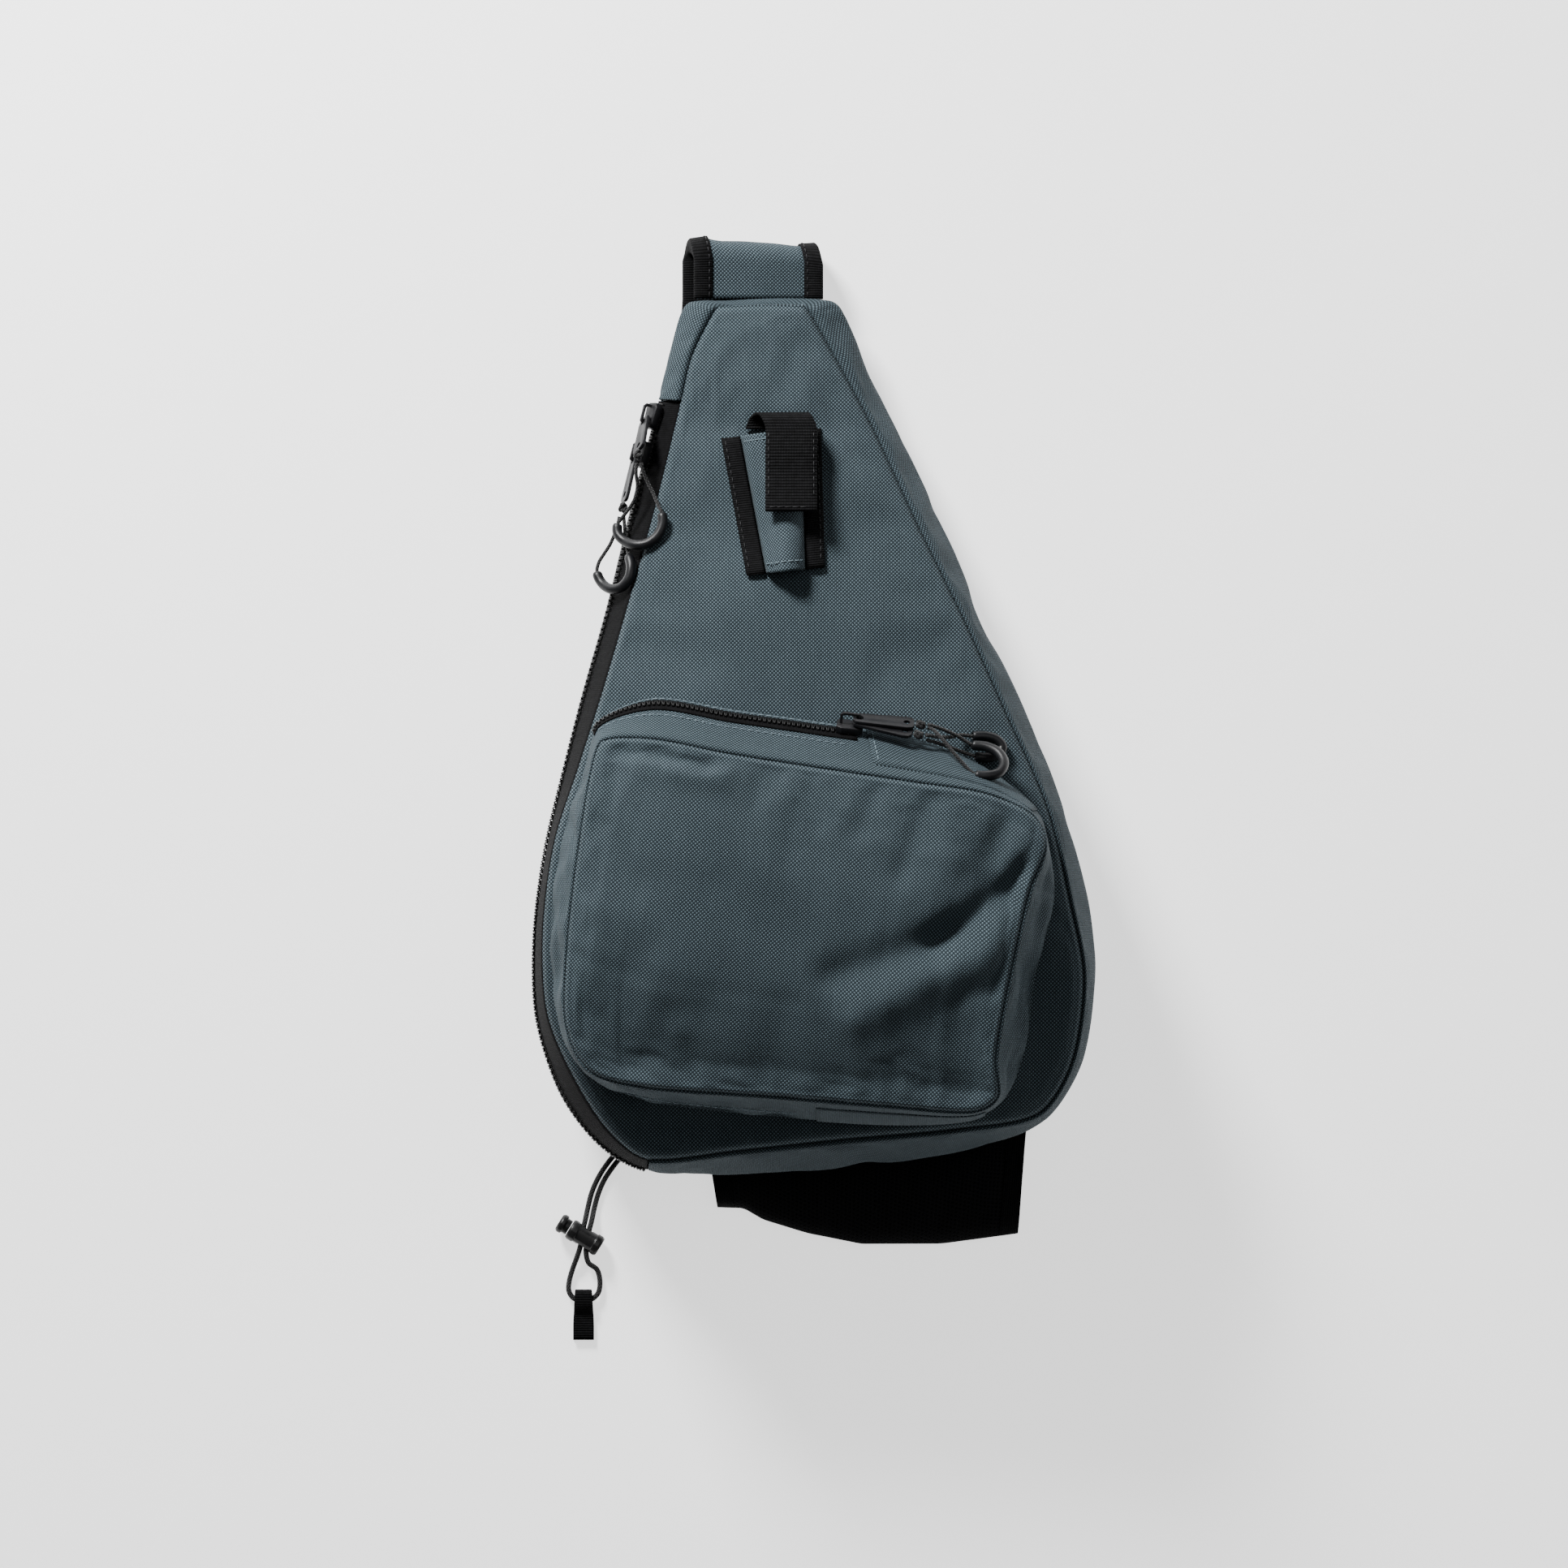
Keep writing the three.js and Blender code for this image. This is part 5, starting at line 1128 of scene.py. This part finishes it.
# The slack face hangs lower towards its foot, by this many mm
POCKET_SAG = 4.0
POCKET_MIDDLE = (0, -90, 60)
POCKET_CORNERS = (0.0, 6.6, 11.5, 16.2)
POCKET_SPAN = (230.0, 160.0)
POCKET_CROWN_REACH = 55.0
POCKET_HELD = 3.5
POCKET_SEAM_DEPTH = 1.9
# Long tucks in the pocket's wall: first row, last row, share of the wall, depth
POCKET_TUCKS = [(6.9, 11.0, 0.50, 2.4), (16.9, 18.9, 0.55, 1.8)]
POCKET_ROW_STEPS = 8
POCKET_ZIP_FROM = -0.3
POCKET_ZIP_TO = 3.5
POCKET_ZIP_SHARE = 0.375
POCKET_ZIP_HALF = 0.125
POCKET_TAPE_WALL = 0.4


def pocket_side(row, share):
    side, up, face_side, face_up, lift = smooth_row(POCKET_EDGE, row)
    foot = Vector((place_x(side), place_y(up), 0))
    edge = Vector((place_x(face_side), place_y(face_up), 0))
    foot.z = panel_top(foot.x, foot.y, seam_height(foot.y)) + SEAT_GAP
    edge.z = foot.z + POCKET_DEPTH * lift - POCKET_WALL - GAP
    point = foot.lerp(edge, share ** 1.7)
    point.z = lerp(foot.z, edge.z, share)
    return point


def wall_grid(first, last, steps, shares):
    """Points of the pocket's wall between two rows of its table."""
    return [[pocket_side(lerp(first, last, k / steps) % POCKET_ROWS, share) for share in shares]
            for k in range(steps + 1)]


def fold_depth(point, folds):
    """How deep the folds press the cloth in at a place."""
    total = 0.0
    for start, end, deep, wide in folds:
        a, b = (Vector((place_x(side), place_y(up))) for side, up in (start, end))
        at = min(max((point.xy - a).dot(b - a) / (b - a).length_squared, 0.0), 1.0)
        away = (point.xy - a.lerp(b, at)).length / wide
        total += deep * math.exp(-away * away)
    return total


def tuck_depth(row, share):
    return sum(deep * math.exp(-((share - middle) / 0.15) ** 2) * smooth_step(first, first + 0.8, row)
               * smooth_step(last, last - 0.8, row) for first, last, middle, deep in POCKET_TUCKS)


def lapped(co):
    """1 where the zip and the second layers of cloth lie on the pocket's wall."""
    top = smooth_step(-30, -12, co.y + 0.22 * (co.x + 80))
    foot = smooth_step(-158, -166, co.y) * smooth_step(-15, -5, co.x)
    return max(top, foot)


def pocket_gusset():
    """The pocket's side wall, with its tucks and a puffed edge round the face."""
    shares = spread_lines(11, 40.0, False)
    rows = [[pocket_side(k / POCKET_ROW_STEPS, share) for share in shares]
            for k in range(POCKET_ROWS * POCKET_ROW_STEPS)]
    for k, row in enumerate(rows):
        seam = row[-1].copy()
        out = (row[0] - seam).xy.normalized()
        for point, share in zip(row, shares):
            rise = puffed((point - seam).length, 2.4, 1.3, 6.0)
            tuck = tuck_depth(k / POCKET_ROW_STEPS, share)
            side = 0.5 * rise - tuck
            point += Vector((out.x * side, out.y * side, rise - 0.5 * tuck))
    # The pocket's wall takes the darker copy of the cloth, as painted shade.
    piece = shape("pocket_gusset", rows, SHADED_WALL_CLOTH, wrap_rows=True, out_from=POCKET_MIDDLE)
    fixed = held_at([point for row in rows for point in row[:1] + row[-4:]])
    free = lambda co: (1 - fixed(co)) * (1 - lapped(co))
    move_points(piece, lambda co: free(co) * (1.3 * ripple(co, 16, 6.6, (1, 1, 0.4)) - 0.5))
    relax(piece, lambda co: max(fixed(co), lapped(co)), growth=0.02, pressure=0.3, cap=2.5)
    thicken(piece, POCKET_WALL, 1)


pocket_gusset()


pocket_edge = lambda row: pocket_side(row % POCKET_ROWS, 1)
pocket_away = rim_distance(pocket_edge, POCKET_ROWS)


def pocket_front():
    """The slack face: crowned, folded, and hanging towards its foot."""
    lines = [spread_lines(count, span) for count, span in zip((70, 54), POCKET_SPAN)]
    rows = patch(pocket_edge, POCKET_CORNERS, POCKET_ROWS, lines)
    for row in rows:
        for point in row:
            away = pocket_away(point)
            crown = crowned(away, POCKET_CROWN_REACH)
            folds = fold_depth(point, POCKET_FOLDS) * smooth_step(1, 9, away)
            lower = smooth_step(0.26, 0.08, up_of(point.y)) * smooth_step(0, 14, away)
            point.z += GAP + POCKET_WALL + POCKET_CROWN * crown - folds - POCKET_SAG * lower
            puff = 0.9 + 0.5 * ripple(point, 25, 3.7)
            point.z += seam_profile(away, POCKET_SEAM_DEPTH, puff, 1.0)
    piece = shape("pocket_front", rows, CLOTH, planar=0.09)
    inner = lambda co: smooth_step(2, 20, pocket_away(co))
    move_points(piece, lambda co: inner(co) * (0.8 * ripple(co, 34, 2.2) + 0.2 * ripple(co, 14, 5.5)))
    relax(piece, lambda co: 1.0 if pocket_away(co) < POCKET_HELD else 0.0,
          growth=0.012, pressure=0.5, cap=2.0)
    thicken(piece, POCKET_WALL, 1)


pocket_front()


def pocket_zip():
    """Tape on the pocket's top wall, and its coil."""
    shares = [POCKET_ZIP_SHARE + POCKET_ZIP_HALF * (n - 3) / 3 for n in range(7)]
    rows = wall_grid(POCKET_ZIP_FROM, POCKET_ZIP_TO, 56, shares)
    centers, outs, acrosses = normal_lines(rows, 3)
    tape = surface("pocket_zip_tape", shifted(rows, 0.75), TAPE, replaced=["pocket_zip"],
                   out_from=POCKET_MIDDLE)
    thicken(tape, POCKET_TAPE_WALL)
    raised = [center + out * 0.9 for center, out in zip(centers, outs)]
    coil("pocket_zip_coil", raised, outs, acrosses, width=3.2, height=0.9, pitch=1.2, wire=0.34)


pocket_zip()


def wall_line(first, last, share):
    """A line along the pocket's wall, with the outward ways at its points."""
    rows = wall_grid(first, last, 40, [share - 0.05, share, share + 0.05])
    raised = shifted(rows, 0.25)
    return [row[1] for row in raised], [(b[1] - a[1]).normalized() for a, b in zip(rows, raised)]


def wall_lap(name, first, last, shares, lift):
    """A second layer of cloth on the pocket's wall, whose edge shows as a step."""
    rows = wall_grid(first, last, 24, [lerp(*shares, n / 10) for n in range(11)])
    # The lap takes the darker copy of the cloth, as painted shade.
    thicken(surface(name, shifted(rows, lift), SHADED_WALL_CLOTH, out_from=POCKET_MIDDLE), lift - 0.05)


stitches("pocket_zip_stitches", [wall_line(-0.1, 3.5, 0.17), wall_line(-0.1, 3.4, 0.6)])
wall_lap("pocket_zip_garage", 3.62, 5.9, (0.10, 0.86), 0.9)
stitches("pocket_garage_stitches", [upward(
    [pocket_side(3.68, lerp(0.14, 0.8, k / 12)) + Vector((0, 0.3, 1.15)) for k in range(13)])])
wall_lap("pocket_foot_lap", 11.6, 13.6, (0.06, 0.8), 0.8)
stitches("pocket_foot_stitches", [wall_line(13.75, 15.4, 0.5)])


# Tool holster: an arch between two bindings, and the webbing flap over its mouth
HOLSTER_LENGTH = 70.0
HOLSTER_TOP_WIDTH = 50.0
HOLSTER_FOOT_WIDTH = 39.0
HOLSTER_HEIGHT = 13.0
HOLSTER_WALL = 1.4
HOLSTER_FOLD = 2.6
HOLSTER_TILT = 0.105
HOLSTER_TOP = Vector((place_x(-0.155), place_y(0.842), 0))
HOLSTER_ALONG = Vector((math.sin(HOLSTER_TILT), -math.cos(HOLSTER_TILT), 0))
HOLSTER_ACROSS = Vector((math.cos(HOLSTER_TILT), math.sin(HOLSTER_TILT), 0))
HOLSTER_BINDING_THICKNESS = 2.0
FLAP_WIDTH = 25.5
FLAP_THICKNESS = 1.5
FLAP_DROP = 40.0
FLAP_REACH = 10.0
FLAP_SHIFT = 10.0
# The flap's turn over the mouth: share of its reach, of its height and of its shift
FLAP_LOOP = [(0.20, 0.06, 0.0), (0.50, 0.12, 0.1), (0.84, 0.33, 0.3), (0.92, 0.60, 0.6),
             (0.70, 0.88, 0.8), (0.20, 1.00, 1.0)]


def on_panel(point, high, half=0.0):
    under = max(panel_top(point.x + step, point.y) for step in (-half, 0, half))
    return Vector((point.x, point.y, under + SEAT_GAP + high))


def holster_point(down, across, high):
    place = HOLSTER_TOP + HOLSTER_ALONG * (down * HOLSTER_LENGTH) + HOLSTER_ACROSS * across
    return on_panel(place, high)


def holster_half(down):
    return lerp(HOLSTER_TOP_WIDTH, HOLSTER_FOOT_WIDTH, down) / 2


def sleeve_half(down):
    return holster_half(down) - BINDING_WIDTH - GAP


def holster_sleeve():
    """The arch of cloth, with one long fold pressed into it."""
    rows = []
    for k in range(29):
        down = k / 28
        row = []
        for n in range(25):
            angle = math.pi * n / 24
            dent = 0.5 * ripple(Vector((down * 40, n, 0)), 6, 3.3)
            dent -= HOLSTER_FOLD * smooth_step(0, 0.5, down) * math.exp(-((n - 6.5) / 2.2) ** 2)
            high = (HOLSTER_HEIGHT + dent) * math.sin(angle)
            row.append(holster_point(down, -sleeve_half(down) * math.cos(angle), high))
        rows.append(row)
    thicken(shape("holster_sleeve", rows, CLOTH, out_from=tuple(holster_point(0.5, 0, 0))), HOLSTER_WALL, 1)


def holster_binding(name, way):
    top = HOLSTER_BINDING_THICKNESS
    rings = []
    for k in range(25):
        down = k / 24
        inner = holster_half(down) - BINDING_WIDTH
        face = lambda share: inner + 0.5 + (BINDING_WIDTH - 1.0) * share
        outline = [(face(n / 8), top + 0.35 * math.sin(math.pi * n / 8)) for n in range(9)]
        outline.append((inner + BINDING_WIDTH, top / 2))
        outline += [(face(n / 4), 0.0) for n in range(4, -1, -1)]
        outline.append((inner, top / 2))
        rings.append([holster_point(down, way * across, high) for across, high in outline])
    closed(f"holster_binding_{name}", rings, GROSGRAIN)


def holster_stitches():
    """Rows on both bindings, and across the arch beside its mouth and its foot."""
    high = HOLSTER_BINDING_THICKNESS + 0.3
    shares = [0.02 + 0.96 * k / 24 for k in range(25)]
    stitches("holster_binding_stitches", [upward(
        [holster_point(down, way * (holster_half(down) - 1.9), high) for down in shares])
        for way in (-1, 1)], BLACK_THREAD)
    angles = [math.pi * (0.12 + 0.76 * n / 24) for n in range(25)]
    ways = [HOLSTER_ACROSS * -math.cos(a) + UP * math.sin(a) for a in angles]
    stitches("holster_hem_stitches", [(
        [holster_point(down, -sleeve_half(down) * math.cos(a), (HOLSTER_HEIGHT + 0.2) * math.sin(a))
         for a in angles], ways) for down in (0.045, 0.935)])


def flap_point(out, high, shift):
    place = Vector((HOLSTER_TOP.x + FLAP_SHIFT * shift, HOLSTER_TOP.y + out, 0))
    return on_panel(place, high * (HOLSTER_HEIGHT + GAP + FLAP_THICKNESS), FLAP_WIDTH / 2)


def holster_flap():
    """Webbing that turns over the mouth and lies on the arch, with stitches near its edges."""
    path = [flap_point(out * FLAP_REACH, high, shift) for out, high, shift in FLAP_LOOP]
    path += [flap_point(-share * FLAP_DROP, 1, 1) for share in (0.25, 0.5, 0.75, 1)]
    band("holster_flap", through(path, 5), FLAP_WIDTH / 2, FLAP_THICKNESS, WEBBING)
    seam = FLAP_WIDTH / 2 - 1.6
    lift = FLAP_THICKNESS / 2 + 0.1
    lines = [[flap_point(-step / 10 * FLAP_DROP, 1, 1) + Vector((way * seam, 0, lift))
              for step in range(10)] for way in (-1, 1)]
    foot = flap_point(-FLAP_DROP + 2.0, 1, 1) + UP * lift
    lines.append([foot + RIGHT * (step * seam) for step in (-1, -0.5, 0, 0.5, 1)])
    stitches("holster_flap_stitches", [upward(line) for line in lines], BLACK_THREAD)


holster_sleeve()
holster_binding("left", -1)
holster_binding("right", 1)
holster_stitches()
holster_flap()


# Shoulder strap: out of the top end, folded, and back under the bag to its webbing
STRAP_FOLD_FADE = 14.0
STRAP_FOLD_SLANT = 0.055
STRAP_FOLD_PEAK = 1.6
STRAP_CORE = STRAP_THICKNESS / 2
BINDING_LIP = 0.3
BINDING_ROUNDING = 1.6
fold_y = strap_root_y + STRAP_FOLD_REACH - STRAP_FOLD_RADIUS - strap_base_z


def strap_line():
    """The strap's path, and its half width at each point of it."""
    top_z = strap_base_z + 2 * STRAP_FOLD_RADIUS
    path = [Vector((strap_root_x, lerp(strap_root_y + 2 * GAP, fold_y, k / 8), top_z)) for k in range(9)]
    for k in range(1, 17):
        angle = math.pi * (0.5 - k / 16)
        path.append(Vector((lerp(strap_root_x, strap_return_x(fold_y), k / 16),
                            fold_y + STRAP_FOLD_RADIUS * math.cos(angle),
                            strap_base_z + STRAP_FOLD_RADIUS * (1 + math.sin(angle)))))
    for k in range(1, 71):
        y = lerp(fold_y, pad_end_y, k / 70)
        path.append(Vector((strap_return_x(y), y, strap_base_z)))
    taper = [smooth_step(pad_end_y + STRAP_TAPER, pad_end_y, point.y) for point in path]
    return path, [lerp(STRAP_WIDTH, STRAP_END_WIDTH, share) / 2 for share in taper]


strap_path, strap_halves = strap_line()


def slant(point):
    """The fold runs askew, and its bound edges push out in a small peak each."""
    across = point.x - strap_root_x
    peak = math.exp(-((abs(across) - STRAP_WIDTH / 2 + BINDING_WIDTH * 0.7) / 3.5) ** 2)
    folded = smooth_step(fold_y - STRAP_FOLD_FADE, fold_y + STRAP_FOLD_RADIUS, point.y)
    point.y += (STRAP_FOLD_PEAK * peak - STRAP_FOLD_SLANT * across) * folded
    return point


def strap_rings(outline):
    return [[slant(point) for point in ring] for ring in rings_on(strap_path, outline)]


def pad(sign, crown):
    """Outline of the strap's upper or lower half, puffed between its bindings."""
    def outline(k):
        half = strap_halves[k] - BINDING_THICKNESS - GAP
        open_half = half - BINDING_WIDTH + 2
        face = []
        for n in range(17):
            u = half * (2 * n / 16 - 1)
            puff = crown * (1 - (u / open_half) ** 2) if abs(u) < open_half else 0
            wave = 0.35 * ripple(strap_path[k] + Vector((u, 0, 40 * sign)), 14, 7.7) if puff > 0 else 0
            face.append((u, sign * (STRAP_CORE + puff + wave * puff)))
        return face + [(half * way, sign * GAP / 2) for way in (1, 0, -1)]
    return outline


def channel(way):
    """Outline of the binding round one edge of the strap."""
    def outline(k):
        edge = strap_halves[k]
        lip = edge - BINDING_WIDTH
        inner = edge - BINDING_THICKNESS
        seat = STRAP_CORE + GAP
        points = [(lip + BINDING_LIP, -strap_base_z)]
        for n in range(7):
            angle = math.pi * (n / 6 - 0.5)
            level = (strap_base_z - BINDING_ROUNDING) * (1 if n > 3 else -1 if n < 3 else 0)
            points.append((edge - BINDING_ROUNDING + BINDING_ROUNDING * math.cos(angle),
                           level + BINDING_ROUNDING * math.sin(angle)))
        points += [(lip + BINDING_LIP, strap_base_z), (lip, seat + 0.3), (lip + 0.2, seat), (inner, seat),
                   (inner, -seat), (lip + 0.2, -seat), (lip, -seat - 0.3)]
        return [(way * u, w) for u, w in points]
    return outline


def strap():
    """The padded strap with its lining, its bindings and their stitches."""
    closed("shoulder_strap", strap_rings(pad(1, 1.1)), CLOTH)
    closed("strap_lining", strap_rings(pad(-1, 0.6)), MESH)
    for name, way in (("left", -1), ("right", 1)):
        closed(f"strap_binding_{name}", strap_rings(channel(way)), GROSGRAIN)
    rows = []
    for way in (-1, 1):
        for face in (-1, 1):
            seam = lambda high: [ring[0] for ring in strap_rings(
                lambda k: [(way * (strap_halves[k] - BINDING_WIDTH + 1.6), face * high)])]
            line = seam(strap_base_z)
            rows.append((line, [above - point for above, point in zip(seam(strap_base_z + 1), line)]))
    stitches("strap_binding_stitches", rows, BLACK_THREAD)


strap()


def webbing():
    """From its tail through both slots of the adjuster and back to the bag's foot."""
    y = pad_end_y - GAP - (ADJUSTER_SLOT + 1.5 * ADJUSTER_BAR)
    slot = ADJUSTER_BAR / 2 + ADJUSTER_SLOT / 2
    bend = WEBBING_THICKNESS * 0.6
    rise = lerp(webbing_run_z, webbing_turn_z, 0.5)
    line = [
        (-WEBBING_TAIL, tail_z), (-WEBBING_TAIL / 2, tail_z), (-slot, tail_z), (slot * 0.6, tail_z),
        (slot, tail_z + bend), (slot, rise), (slot * 0.8, webbing_turn_z - 0.35),
        (slot * 0.35, webbing_turn_z), (-slot * 0.35, webbing_turn_z), (-slot * 0.8, webbing_turn_z - 0.35),
        (-slot, rise), (-slot, webbing_run_z + bend), (-slot * 1.4, webbing_run_z),
        (-WEBBING_TAIL, webbing_run_z),
    ]
    path = [Vector((strap_return_x(y + at), y + at, z)) for at, z in line]
    end_y = place_y(0.07)
    end_x = strap_return_x(end_y)
    end_z = min(back_lift(end_x + step * WEBBING_WIDTH, end_y) for step in (-0.5, 0, 0.5))
    path.append(Vector((end_x, end_y, end_z - SEAT_GAP - WEBBING_THICKNESS / 2)))
    dense = [path[0]]
    for a, b in zip(path, path[1:]):
        steps = max(1, int((b - a).length / 6))
        dense += [a.lerp(b, (k + 1) / steps) for k in range(steps)]
    band("strap_webbing", dense, WEBBING_WIDTH / 2, WEBBING_THICKNESS, WEBBING)


webbing()


# Mesh sleeve at the foot
SLEEVE_HEIGHT = 11.0
SLEEVE_REACH = 42.0
SLEEVE_WALL = 1.2
SLEEVE_HEM_WIDTH = 9.0
SLEEVE_HEM_WALL = 1.8
# Round the flattened tube: share of its reach, share of its height
SLEEVE_PROFILE = [
    (0.00, 0.16), (0.12, 0.36), (0.30, 0.72), (0.62, 1.00), (0.88, 0.86), (1.00, 0.45),
    (0.90, 0.06), (0.62, 0.00), (0.30, 0.00), (0.00, 0.00),
]
# Across the foot: share of the way, side at the root, side at the tip, reach
SLEEVE_SIDES = [
    (0.00, -0.385, -0.350, 0.55), (0.10, -0.270, -0.255, 0.56), (0.17, -0.190, -0.185, 0.70),
    (0.32, -0.020, -0.020, 0.87), (0.50, 0.190, 0.175, 1.00), (0.75, 0.500, 0.465, 1.00),
    (1.00, 0.780, 0.743, 0.88),
]
back_rim = [body_side(k / 2 % ROWS, 0) for k in range(ROWS * 2)]


def foot_seam_y(x):
    """Where the body's back edge at the foot lies, a little before its seam."""
    crossings = [lerp(a.y, b.y, (x - a.x) / (b.x - a.x))
                 for a, b in zip(back_rim, back_rim[1:] + back_rim[:1])
                 if min(a.x, b.x) <= x <= max(a.x, b.x) and a.x != b.x]
    return min(crossings) - 3 * GAP


def sleeve_row(run):
    """The sleeve's outline at a share of its way across the foot."""
    root_side, tip_side, reach = (read(SLEEVE_SIDES, run, column) for column in (1, 2, 3))
    root_x = place_x(root_side)
    root = Vector((root_x, foot_seam_y(root_x) + GAP, 0))
    tip = Vector((place_x(tip_side), BAG_FOOT_Y - reach * SLEEVE_REACH, 0))
    row = []
    for (out, high), (next_out, next_high) in zip(SLEEVE_PROFILE, SLEEVE_PROFILE[1:]):
        for step in (0.0, 0.5):
            point = root.lerp(tip, lerp(out, next_out, step))
            point.z = SLEEVE_HEIGHT * lerp(high, next_high, step)
            row.append(point)
    return row + [root.copy()]


def sleeve_part(node, first, last, steps, wall, material):
    """A stretch of the sleeve, which runs a little way into its neighbours."""
    over = 2 * GAP / SLEEVE_RUN
    first, last = max(first - over, 0.0), min(last + over, 1.0)
    rows = [sleeve_row(lerp(first, last, k / steps)) for k in range(steps + 1)]
    if material == MESH:
        for row in rows:
            for point in row[2:11]:
                point.z += 0.9 * ripple(point, 15, 5.1) - 0.3
    middle = rows[len(rows) // 2]
    center = sum(middle, Vector()) / len(middle)
    thicken(shape(node, rows, material, out_from=tuple(center)), wall, 1)


SLEEVE_RUN = place_x(SLEEVE_SIDES[-1][2] - SLEEVE_SIDES[0][2])
hem = SLEEVE_HEM_WIDTH / SLEEVE_RUN
hem_end = hem + GAP / SLEEVE_RUN
sleeve_part("mesh_sleeve", hem_end, 1 - hem_end, 48, SLEEVE_WALL, MESH)
sleeve_part("sleeve_hem_left", 0, hem, 4, SLEEVE_HEM_WALL, GROSGRAIN)
sleeve_part("sleeve_hem_right", 1 - hem, 1, 4, SLEEVE_HEM_WALL, GROSGRAIN)
